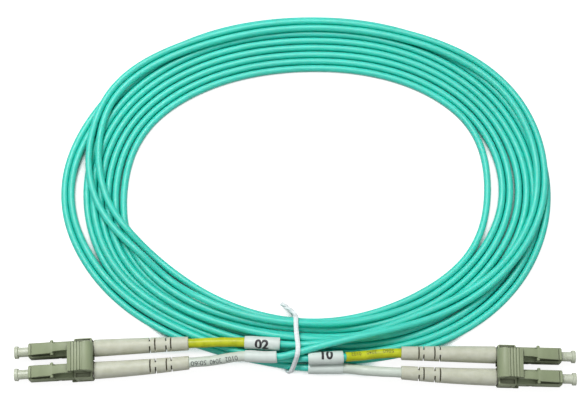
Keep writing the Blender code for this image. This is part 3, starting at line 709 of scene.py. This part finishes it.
GLYPH_EDGE = 0.22  # longest edge, so that the numbers bend with the sleeve
INK_DEPTH = 0.012
MARKER_INK = ("ink", 3.8, MARKER_R["back"] + 0.01, 0.14)  # look, size, radius and boldness
WHITE_INK = ("grey_ink", 1.9, SLEEVE_R["front"] + 0.015, 0.02)
YELLOW_INK = ("olive_ink", 1.5, SLEEVE_R["back"] + 0.015, 0.01)


def flat_glyphs(text, size, depth, bold):
    """A closed, finely divided mesh of a line of numbers, centred on the origin, in millimetres."""
    curve = bpy.data.curves.new("print", "FONT")
    curve.body = text
    curve.size = size
    curve.extrude = depth
    curve.offset = bold
    curve.align_x = curve.align_y = "CENTER"
    curve.resolution_u = 6
    obj = add_object("print", curve)
    bpy.context.view_layer.update()
    mesh = bpy.data.meshes.new_from_object(obj.evaluated_get(bpy.context.evaluated_depsgraph_get()))
    bpy.data.objects.remove(obj)
    surface = bmesh.new()
    surface.from_mesh(mesh)
    bmesh.ops.remove_doubles(surface, verts=surface.verts, dist=0.0005 * size)
    bmesh.ops.triangulate(surface, faces=surface.faces)
    for _ in range(6):
        long_edges = [e for e in surface.edges if e.calc_length() > GLYPH_EDGE]
        if not long_edges:
            break
        bmesh.ops.subdivide_edges(surface, edges=long_edges, cuts=1)
        bmesh.ops.triangulate(surface, faces=[f for f in surface.faces if len(f.verts) > 3])
    points = [v.co.copy() for v in surface.verts]
    faces = [[v.index for v in f.verts] for f in surface.faces]
    surface.free()
    return points, faces


def print_on(name, text, ink, row, end, x, turn_deg, ahead=1):
    """Wraps numbers round a sleeve at x on its plug. ahead is -1 if they read against the line."""
    look, size, radius, bold = ink
    points, faces = flat_glyphs(text, size, INK_DEPTH, bold)
    middle = LINES[row].plug_place(end, x)
    centre, side, up = LINES[row].frames([middle + ahead * p.x for p in points])
    wrapped = []
    for p, c, a, b in zip(points, centre, side, up):
        angle = math.radians(turn_deg) - ahead * p.y / radius
        wrapped.append(c + (radius + p.z) * (math.cos(angle) * a + math.sin(angle) * b))
    obj = new_piece(name, wrapped, faces, look)
    settle(obj, None, ROOT, [], 60.0)


# ---- wire tie

TIE_REACH_OUT = 0.95 + 0.30 + 0.30  # cord, slack and half the ribbon's thickness
TIE_LOWEST = 0.32
TIE_HALF_WIDTH, TIE_HALF_THICK = 0.66, 0.36
TIE_BULGE, TIE_HOOK = 0.60, 1.45
TIE_STEP, TIE_SMOOTHING, SWAY_SMOOTHING = 0.16, 7, 11
TIE_TURN_DEG, TIE_TURNS = 1.5, 181
TAIL_LENGTH, TAIL_TURNS, TAIL_STEPS, TAIL_HALF_WIDTH = 4.6, 1.25, 48, 0.46


def tie_strands(tie_x):
    """Where the cords cross the tie's plane at the front of the coil, as (y, z)."""
    strands = []
    for line in LINES.values():
        offset = line.points[:, 0] - tie_x
        crossing = (offset[:-1] * offset[1:] <= 0.0) & (line.points[:-1, 1] < 0.0)
        strands += [(line.points[k, 1], line.points[k, 2]) for k in np.nonzero(crossing)[0]]
    return strands


def tie_loop(strands):
    """Places (y, z) of the ribbon's middle and their turn, from the inner side over the top to below."""
    loop = []
    for k in range(TIE_TURNS):
        angle = math.radians(TIE_TURN_DEG * k)
        out = np.array((math.cos(angle), math.sin(angle)))
        outermost = max(strands, key=lambda p: p[0] * out[0] + p[1] * out[1])
        y, z = np.array(outermost) + TIE_REACH_OUT * out
        loop.append(((y, max(z, TIE_LOWEST)), TIE_TURN_DEG * k))
    return loop


def tie_sway(share, turn_deg):
    """Sideways shift of the ribbon: a slight bulge over the bundle, then a hook towards the left plug."""
    bulge = TIE_BULGE * np.exp(-((share - 0.64) / 0.22) ** 2)
    hook = np.clip((share - 0.70) / 0.30, 0.0, 1.0) ** 2 + np.clip((turn_deg - 165.0) / 60.0, 0.0, 1.0)
    return bulge - TIE_HOOK * hook


def ribbon_section(half_width, half_thick):
    """A flat ribbon with a rounded wire core along its middle, as (across, out)."""
    shares = ((1.0, 0.0), (0.92, 0.42), (0.55, 0.55), (0.28, 1.0), (0.0, 1.12), (-0.28, 1.0), (-0.55, 0.55),
              (-0.92, 0.42), (-1.0, 0.0), (-0.92, -0.42), (-0.55, -0.55), (-0.28, -0.9), (0.0, -1.0),
              (0.28, -0.9), (0.55, -0.55), (0.92, -0.42))
    return [(a * half_width, b * half_thick) for a, b in shares]


def smoothed(values, window):
    """Each value averaged with window others to either side, weighted towards the middle."""
    kernel = np.hanning(2 * window + 3)[1:-1]
    return np.convolve(np.pad(values, window, mode="edge"), kernel / kernel.sum(), "valid")


def tail_places(root, heading, phase, travel):
    """One of the two ribbon ends, which are twisted round each other. travel is 1 outward, -1 inward."""
    side = heading.cross(Vector((0, 0, 1))).normalized()
    above = side.cross(heading)
    places = []
    for k in range(TAIL_STEPS + 1):
        share = k / TAIL_STEPS
        angle = phase + math.tau * TAIL_TURNS * share
        thick = math.cos(angle) * side + math.sin(angle) * above
        centre = root + heading * (TAIL_LENGTH * share) + thick * TIE_HALF_THICK
        places.append((tuple(centre), tuple(thick.cross(heading) * travel), TAIL_HALF_WIDTH, 0.0, 0.0))
    return places


def make_tie():
    """One ribbon: in along a tail, round the bundle, and out again along the other tail."""
    _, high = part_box("wire_tie")
    tie_x = high.x / MM - 0.35
    loop = tie_loop(tie_strands(tie_x))
    front_y, inner_y = min(place[0] for place, _ in loop), max(place[0] for place, _ in loop)
    root = Vector((tie_x - 0.5, inner_y + 1.1, 1.0))
    heading = Vector((-0.80, 0.58, 0.10)).normalized()
    places = tail_places(root, heading, math.pi / 2, -1)[::-1]
    places += [((tie_x, *place), (1.0, 0.0, 0.0), TIE_HALF_WIDTH, turn_deg, 1.0) for place, turn_deg in loop]
    places += tail_places(root, heading, -math.pi / 2, 1)
    values = np.array([(*centre, *wide, *rest) for centre, wide, *rest in places])
    steps = np.linalg.norm(np.diff(values[:, :3], axis=0), axis=1)
    distance = np.concatenate([[0.0], np.cumsum(steps)])
    at = np.arange(0.0, distance[-1], TIE_STEP)
    values = np.column_stack([smoothed(np.interp(at, distance, c), TIE_SMOOTHING) for c in values.T])
    centres, widths = values[:, :3], values[:, 3:6]
    halves, turns, swaying = values[:, 6:].T
    share = np.clip((inner_y - centres[:, 1]) / (inner_y - front_y), 0.0, 1.0)
    centres[:, 0] += smoothed(tie_sway(share, turns) * swaying, SWAY_SMOOTHING)
    ahead = np.gradient(centres, axis=0)
    ahead /= np.linalg.norm(ahead, axis=1)[:, None]
    widths -= (widths * ahead).sum(axis=1)[:, None] * ahead
    widths /= np.linalg.norm(widths, axis=1)[:, None]
    outs = np.cross(ahead, widths)
    rings, uv = [], []
    for s, centre, wide, out, half in zip(at, centres, widths, outs, halves):
        section = ribbon_section(half, TIE_HALF_THICK)
        rings.append([centre + a * wide + b * out for a, b in section])
        uv += [(s, a) for a, _ in section]
    points, faces = bridged(rings)
    obj = new_piece("wire_tie_ribbon", points, faces, "tie", uv=uv)
    settle(obj, None, ROOT, ["wire_tie"], 50.0)


# ---- boots

BOOT_PROFILE = (  # x, radius
    (-17.9, 2.40), (-21.0, 2.36), (-27.0, 2.26), (-33.0, 2.14), (-39.0, 1.99), (-44.3, 1.89),
)
BOOT_SLOTS = ((4.7, 90.0), (6.05, 0.0), (9.1, 90.0), (10.6, 0.0))  # distance from the tail, turn
SLOT_WIDTH, SLOT_HALF_SWEEP_DEG = 0.30, 70.0
SLOT_FLOOR_R = 1.36
BOOT_EDGE_R = 0.28
BEND_FRONT, BEND_LENGTH = -18.5, 25.1
BOOT_SIDES = 96
BOOT_BORE = ((BOOT_TAIL, 1.45), (BOOT_TAIL + 0.15, 1.30), (-41.0, 1.29), (-34.0, 1.12), (-27.5, 1.12),
             (-26.5, 1.85), (-18.45, 1.88), (-18.4, 2.02), (BOOT_FRONT, 2.02))
# Painted shade inside the bore, as a share of the slots' near black.
BORE_SHADE = 0.35


def boot_bend(x):
    """How far the boot bends towards its neighbour and upwards at x."""
    share = min(max((BEND_FRONT - x) / BEND_LENGTH, 0.0), 1.4)
    return BOOT_PINCH * share * share, BOOT_LIFT * share * share


def boot_outside(x):
    """The outer radius at x, with rounded rims."""
    radius = float(np.interp(x, *zip(*BOOT_PROFILE[::-1])))
    for edge in (BOOT_FRONT - x, x - BOOT_TAIL):
        if edge < BOOT_EDGE_R:
            radius -= BOOT_EDGE_R - math.sqrt(max(BOOT_EDGE_R ** 2 - (BOOT_EDGE_R - edge) ** 2, 0.0))
    return radius


def boot_stations():
    xs = list(np.linspace(BOOT_FRONT, BOOT_FRONT - BOOT_EDGE_R, 5))
    xs += list(np.arange(BOOT_FRONT - 0.8, BOOT_TAIL + 0.5, -0.6))
    xs += list(np.linspace(BOOT_TAIL + BOOT_EDGE_R, BOOT_TAIL, 5))
    for distance, _ in BOOT_SLOTS:
        low, high = BOOT_TAIL + distance, BOOT_TAIL + distance + SLOT_WIDTH
        xs = [x for x in xs if not low - 0.2 < x < high + 0.2]
        xs += [low - 0.15, low - 0.04, low, high, high + 0.04, high + 0.15]
    return sorted(xs, reverse=True)


def in_slot(x, angle_deg, quarter):
    for distance, turn in BOOT_SLOTS:
        if BOOT_TAIL + distance - 0.01 <= x <= BOOT_TAIL + distance + SLOT_WIDTH + 0.01:
            off = (angle_deg - turn - quarter + 90.0) % 180.0 - 90.0
            return abs(off) <= SLOT_HALF_SWEEP_DEG
    return False


def make_boot(tag, row, placed, side):
    quarter = 90.0 if row == "front" else 0.0
    rings, slot, uv = [], [], []

    def add_ring(x, radius, shade, outside):
        pinch, lift = boot_bend(x)
        ring = []
        for i in range(BOOT_SIDES):
            angle = math.tau * i / BOOT_SIDES
            cut = outside and in_slot(x, 360.0 * i / BOOT_SIDES, quarter)
            r = SLOT_FLOOR_R if cut else radius
            ring.append((x, r * math.cos(angle) - side * pinch, r * math.sin(angle) + lift))
            # Painted shade: 1 on slot floors, BORE_SHADE inside the bore, 0 elsewhere.
            slot.append(1.0 if cut else shade)
            uv.append((x, 2.0 * angle))
        rings.append(ring)

    for x in boot_stations():
        add_ring(x, boot_outside(x), 0.0, True)
    for x, radius in BOOT_BORE:
        add_ring(x, radius, BORE_SHADE, False)
    points, faces = bridged(rings, loop=True)
    boot = new_piece("strain_relief_boot_" + tag, points, faces, "boot", ("slot", slot), uv)
    settle(boot, placed, ROOT, ["boot_" + tag], 40.0)


# ---- plugs

def make_cap(tag, placed):
    profile = rounded_profile(
        ((4.1, 0.0), (4.1, 0.55), (3.9, 0.75), (3.9, 1.25), (4.1, 1.4), (4.1, 1.75), (3.15, 1.75),
         (3.05, 1.34), (0.3, 1.30), (-0.3, 1.30), (-2.3, 1.22), (-2.3, 0.76), (2.3, 0.76), (2.3, 0.0)), 0.10)
    cap = new_piece("dust_cap_moulding_" + tag, *turned(profile, 56), "cap")
    settle(cap, placed, "dust_cap_" + tag, ["dust_cap_" + tag], 40.0)


def make_ferrule(tag, placed):
    profile = rounded_profile(
        ((1.9, 0.0), (1.9, 0.42), (1.72, 0.625), (-5.0, 0.625), (-5.0, 0.0)), 0.06)
    ferrule = new_piece("ceramic_ferrule_" + tag, *turned(profile, 48), "ceramic")
    settle(ferrule, placed, "ferrule_unit_" + tag, ["ferrule_" + tag], 40.0)


SPRING_TURNS, SPRING_END_TURNS = 6.0, 0.9
SPRING_R, SPRING_WIRE_R = 1.18, 0.13
SPRING_FRONT, SPRING_BACK = -5.5, -9.8
SPRING_STEPS, SPRING_SIDES = 28, 10


def spring_x(turn):
    """The end turns lie wire to wire, and the turns between them are open."""
    length, closed = SPRING_FRONT - SPRING_BACK, SPRING_END_TURNS * 2.1 * SPRING_WIRE_R
    stops = (0.0, SPRING_END_TURNS, SPRING_TURNS - SPRING_END_TURNS, SPRING_TURNS)
    return SPRING_FRONT - float(np.interp(turn, stops, (0.0, closed, length - closed, length)))


def make_spring(tag, placed):
    """A coil with closed ends, drawn at one length, although the real spring shortens as the ferrule is
    pushed in.
    """
    ahead = Vector((1.0, 0.0, 0.0))
    rings = []
    for k in range(int(SPRING_TURNS * SPRING_STEPS) + 1):
        turn = k / SPRING_STEPS
        angle = math.tau * turn
        out = Vector((0.0, math.cos(angle), math.sin(angle)))
        middle = out * SPRING_R + spring_x(turn) * ahead
        around = [math.tau * i / SPRING_SIDES for i in range(SPRING_SIDES)]
        rings.append([middle + SPRING_WIRE_R * (math.cos(a) * out + math.sin(a) * ahead) for a in around])
    spring = new_piece("coil_spring_" + tag, *bridged(rings), "metal")
    settle(spring, placed, ROOT, ["ferrule_spring_" + tag], 60.0)
    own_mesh(spring)


def square_ring(x, half):
    return [(x, y, z) for y, z in rounded_ring(half, -half, half, 0.22, 4)]


def make_housing(tag, placed):
    """Square nose with a rounded front edge, a narrower waist, and the seat of the latch on top."""
    stations = ((0.0, 1.88), (-0.04, 1.94), (-0.12, 2.00), (-0.25, 2.03), (-12.2, 2.05), (-12.3, 2.02),
                (-12.32, 1.98), (-17.35, 1.98), (-17.4, 1.93))
    body = new_piece("plug_body_" + tag, *bridged([square_ring(x, h) for x, h in stations]), "moulded")
    seat = [[(x, y, z) for y, z in rounded_ring(1.5, 1.66, top, 0.12)]
            for x, top in ((-0.08, 2.9), (-0.16, 3.0), (-0.80, 3.0), (-0.86, 2.9))]
    boolean(body, box_mesh("under_latch", (-7.3, -1.78, 1.72), (-1.0, 1.78, 3.5)))
    boolean(body, box_mesh("under_tail", (-12.15, -3.0, 1.72), (-7.2, 3.0, 3.5)))
    boolean(body, new_piece("seat", *bridged(seat), "moulded"), "UNION")
    bore = ((1.0, 0.0), (1.0, 1.56), (0.0, 1.56), (-0.1, 1.5), (-2.6, 1.5), (-2.6, 0.88), (-3.4, 0.88),
            (-3.4, 1.6), (BODY_BACK - 1.0, 1.6), (BODY_BACK - 1.0, 0.0))
    boolean(body, new_piece("bore", *turned(bore, 48), "moulded"))
    for side in (-1, 1):
        boolean(body, box_mesh("window", (-9.6, side * 1.9, -1.15), (-7.4, side * 3.0, 0.15)))
        boolean(body, box_mesh("notch", (-8.6, side * 1.66, -2.6), (-7.8, side * 3.0, -1.45)))
    bevel(body, 0.05, 2)
    settle(body, placed, ROOT, ["plug_housing_" + tag])


LATCH_STATIONS = (  # x, underside, top, half width
    (-0.9, 2.74, 2.98, 1.42), (-0.94, 2.66, 3.08, 1.5), (-1.1, 2.5, 3.26, 1.55), (-1.6, 2.45, 3.42, 1.55),
    (-3.6, 2.88, 3.86, 1.55), (-5.6, 3.32, 4.25, 1.55), (-6.8, 3.56, 4.46, 1.55), (-6.92, 3.6, 4.47, 1.5),
    (-7.0, 3.62, 4.48, 1.26), (-7.2, 3.66, 4.5, 1.18), (-8.2, 3.9, 4.74, 1.12), (-9.4, 4.18, 4.9, 1.08),
    (-10.8, 4.36, 4.96, 1.06), (-12.15, 4.49, 4.98, 1.06), (-12.27, 4.55, 4.94, 1.0),
    (-12.3, 4.62, 4.88, 0.92),
)
LATCH_EDGE_R = 0.13
EAR_MIDDLE, EAR_HALF_SPAN, EAR_R = (-6.78, 3.86), 2.08, 0.46


def make_latch(tag, placed):
    rings = [[(x, y, z) for y, z in rounded_ring(half, low, high, LATCH_EDGE_R)]
             for x, low, high, half in LATCH_STATIONS]
    latch = new_piece("latch_lever_" + tag, *bridged(rings), "moulded")
    ears = []
    for y, inset in ((-1.0, 0.14), (-0.96, 0.05), (-0.88, 0.0), (0.88, 0.0), (0.96, 0.05), (1.0, 0.14)):
        points = arc(EAR_MIDDLE, EAR_R - inset, 0.0, 360.0, 20)
        ears.append([(x, y * EAR_HALF_SPAN, z) for x, z in points][:-1])
    boolean(latch, new_piece("ears", *bridged(ears), "moulded"), "UNION")
    settle(latch, placed, "latch_" + tag, ["latch_" + tag], 30.0)


# ---- duplex clips and triggers

CLIP_HALF_WIDTH, CLIP_HALF_HEIGHT = 5.65, 2.75
CHANNEL_HALF = 2.12
PANEL_DEPTH, PANEL_HALF_HEIGHT = 0.12, 1.5
SNAP_HALF_WIDTH = 1.1
WAIST_FRONT, WAIST_HALF = -15.8, 0.32
TRIGGER_HALF_WIDTH = 4.0
RIBS, RIB_PITCH, GROOVE_DEPTH = 5, 0.82, 0.14


def make_clip(end, placed):
    """Clip body with two square channels, panels, snap slots, hooks, pockets, and a slot at its waist."""
    clip = box_mesh("duplex_clip_body_" + end, (CLIP_BACK, -CLIP_HALF_WIDTH, -CLIP_HALF_HEIGHT),
                    (CLIP_FRONT, CLIP_HALF_WIDTH, CLIP_HALF_HEIGHT))
    bevel(clip, 0.55, 4)
    for side in (-1, 1):
        middle, outer = side * PITCH / 2, side * CLIP_HALF_WIDTH
        boolean(clip, box_mesh("channel", (CLIP_BACK - 1, middle - CHANNEL_HALF, -CHANNEL_HALF),
                               (CLIP_FRONT + 1, middle + CHANNEL_HALF, CHANNEL_HALF)))
        boolean(clip, box_mesh("panel", (-16.9, outer - PANEL_DEPTH, -PANEL_HALF_HEIGHT),
                               (-13.9, outer + PANEL_DEPTH, PANEL_HALF_HEIGHT)))
        boolean(clip, box_mesh("snap", (-13.55, middle - SNAP_HALF_WIDTH, -3.2),
                               (-13.05, middle + SNAP_HALF_WIDTH, -2.6)))
        boolean(clip, box_mesh("hook", (-12.9, side * 5.05, -2.7), (-11.5, side * 5.6, -1.8)), "UNION")
        boolean(clip, box_mesh("pocket", (-17.25, side * 4.1, 2.3), (-13.15, side * 5.3, 3.5)))
    boolean(clip, box_mesh("waist", (CLIP_BACK - 1, -WAIST_HALF, -4.0), (WAIST_FRONT, WAIST_HALF, 4.0)))
    bevel(clip, 0.06, 2)
    settle(clip, placed, ROOT, ["duplex_clip_" + end])


def arc(centre, radius, start_deg, end_deg, steps):
    for k in range(steps + 1):
        angle = math.radians(start_deg + (end_deg - start_deg) * k / steps)
        yield (centre[0] + radius * math.cos(angle), centre[1] + radius * math.sin(angle))


def trigger_outline():
    """The trigger's side view as (x, z): root, underside, lip, ribs and back, in order."""
    outline = list(arc(TRIGGER_HINGE, 0.97, 180.0, 340.0, 14))
    outline += list(arc((-15.2, 4.35), 1.0, 175.0, 90.0, 8))
    outline += [(-13.2, 5.32), (-11.85, 5.34), (-11.35, 5.44), (-11.22, 5.52), (-11.2, 5.75), (-11.28, 5.95)]
    outline += [(-11.45, 6.04), (-12.0, 6.16)]
    for k in range(RIBS):
        x, top = -12.16 - RIB_PITCH * k, 6.22 + 0.07 * k
        outline += [(x, top), (x - 0.08, top - 0.03), (x - 0.13, top - GROOVE_DEPTH)]
        outline += [(x - 0.27, top - GROOVE_DEPTH), (x - 0.32, top + 0.02), (x - 0.40, top + 0.05)]
    outline += list(arc((-15.9, 4.40), 2.2, 78.0, 172.0, 14))
    return outline


def make_trigger(end, placed):
    flat = np.array(trigger_outline())
    around = np.roll(flat, -1, axis=0) - np.roll(flat, 1, axis=0)
    inward = np.column_stack([-around[:, 1], around[:, 0]])
    inward /= np.linalg.norm(inward, axis=1)[:, None]
    half = TRIGGER_HALF_WIDTH
    sides = ((-half, 0.10), (-half + 0.04, 0.03), (-half + 0.12, 0.0),
             (half - 0.12, 0.0), (half - 0.04, 0.03), (half, 0.10))
    rings = [[(x, y, z) for x, z in flat + inward * inset] for y, inset in sides]
    trigger = new_piece("trigger_lever_" + end, *bridged(rings), "moulded")
    settle(trigger, placed, "trigger_" + end, ["trigger_" + end], 32.0)


# ---- inside pieces, as in the CAD

INSIDE_LOOKS = {
    "ferrule_holder": "metal", "back_post": "metal", "crimp_sleeve": "metal",
    "aramid_yarn": "yarn", "buffered_fibre": "buffer",
}


def dress_inside():
    for name, node in frame["nodes"].items():
        for kind, look in INSIDE_LOOKS.items():
            if name.startswith(kind):
                node.data.materials.clear()
                node.data.materials.append(LOOKS[look])


# ---- stage

CAMERA_ELEVATION_DEG = 72.0
CAMERA_DISTANCE = 379.0
CAMERA_LENS = 80.0
COIL_MIDDLE = (-0.47, -1.83, 0.0)
KEY_PLACE, KEY_TARGET, KEY_SIZE, KEY_POWER = (-130, 190, 540), (0, -10, 0), (200, 150), 2.5
TOP_PLACE, TOP_TARGET, TOP_SIZE, TOP_POWER = (30, 0, 700), (0, 0, 0), (1200, 900), 1.7
WORLD_POWER = 0.27
FLOOR_SIDE, FLOOR_STEPS, FLOOR_Z = 3000.0, 8, -0.02


def aim(obj, target):
    obj.rotation_mode = "QUATERNION"
    obj.rotation_quaternion = (Vector(target) * MM - obj.location).to_track_quat("-Z", "Y")


def make_camera():
    camera = add_object("camera", bpy.data.cameras.new("camera"))
    angle = math.radians(CAMERA_ELEVATION_DEG)
    away = Vector((0.0, -math.cos(angle), math.sin(angle))) * CAMERA_DISTANCE
    camera.location = (Vector(COIL_MIDDLE) + away) * MM
    aim(camera, COIL_MIDDLE)
    camera.data.lens = CAMERA_LENS
    camera.data.sensor_width = 36.0
    camera.data.clip_start, camera.data.clip_end = 0.01, 10.0
    bpy.context.scene.camera = camera


def make_lamp(name, place, target, size, power):
    data = bpy.data.lights.new(name, "AREA")
    data.shape = "RECTANGLE"
    data.size, data.size_y = size[0] * MM, size[1] * MM
    data.energy = power
    lamp = add_object(name, data)
    lamp.location = Vector(place) * MM
    aim(lamp, target)


def make_stage():
    lines = [FLOOR_SIDE * (i / FLOOR_STEPS - 0.5) for i in range(FLOOR_STEPS + 1)]
    points = [(x, y, FLOOR_Z) for x in lines for y in lines]
    across = len(lines)
    corners = [i * across + j for i in range(FLOOR_STEPS) for j in range(FLOOR_STEPS)]
    faces = [(a, a + across, a + across + 1, a + 1) for a in corners]
    LOOKS["floor"] = floor_material()
    floor = new_piece("studio_floor", points, faces, "floor")
    make_lamp("key", KEY_PLACE, KEY_TARGET, KEY_SIZE, KEY_POWER)
    make_lamp("top", TOP_PLACE, TOP_TARGET, TOP_SIZE, TOP_POWER)
    world = bpy.data.worlds.new("studio")
    bpy.context.scene.world = world
    world.use_nodes = True
    background = world.node_tree.nodes["Background"]
    background.inputs["Color"].default_value = (1.0, 1.0, 1.0, 1.0)
    background.inputs["Strength"].default_value = WORLD_POWER
    bpy.context.scene.view_settings.view_transform = "Standard"
    bpy.context.scene.view_settings.look = "None"


# ---- assembly

def make_end(end):
    pair = pair_frame(end)
    make_clip(end, pair)
    make_trigger(end, pair)
    for row in ROWS:
        tag = f"{end}_{row}"
        placed = plug_frame(tag)
        side = 1 if (pair.inverted() @ placed).translation.y > 0 else -1
        make_cap(tag, placed)
        make_ferrule(tag, placed)
        make_spring(tag, placed)
        make_housing(tag, placed)
        make_latch(tag, placed)
        make_boot(tag, row, placed, side)
        make_sleeves(end, row)


def make_prints():
    """Numbers on the back markers, the front sleeve at the left and the back sleeve at the right."""
    for end, text, turn_deg, ahead in (("left", "02", 58.0, -1), ("right", "01", 117.0, 1)):
        x = sum(MARKERS[end + "_back"]) / 2
        print_on("marker_number_" + end, text, MARKER_INK, "back", end, x, turn_deg, ahead)
    for k, text in enumerate(("0102", "3040", "50:60")):
        print_on(f"sleeve_print_left_{k}", text, WHITE_INK, "front", "left", -56.5 + 4.9 * k, 66.0)
    for k, text in enumerate(("0102", "3040", "5060")):
        print_on(f"sleeve_print_right_{k}", text, YELLOW_INK, "back", "right", -57.1 + 4.6 * k, 112.0)


def build():
    make_jacket("front", "outer")
    make_jacket("back", "inner")
    for end in ENDS:
        make_end(end)
    make_tie()
    make_prints()
    dress_inside()
    make_stage()
    make_camera()


build()
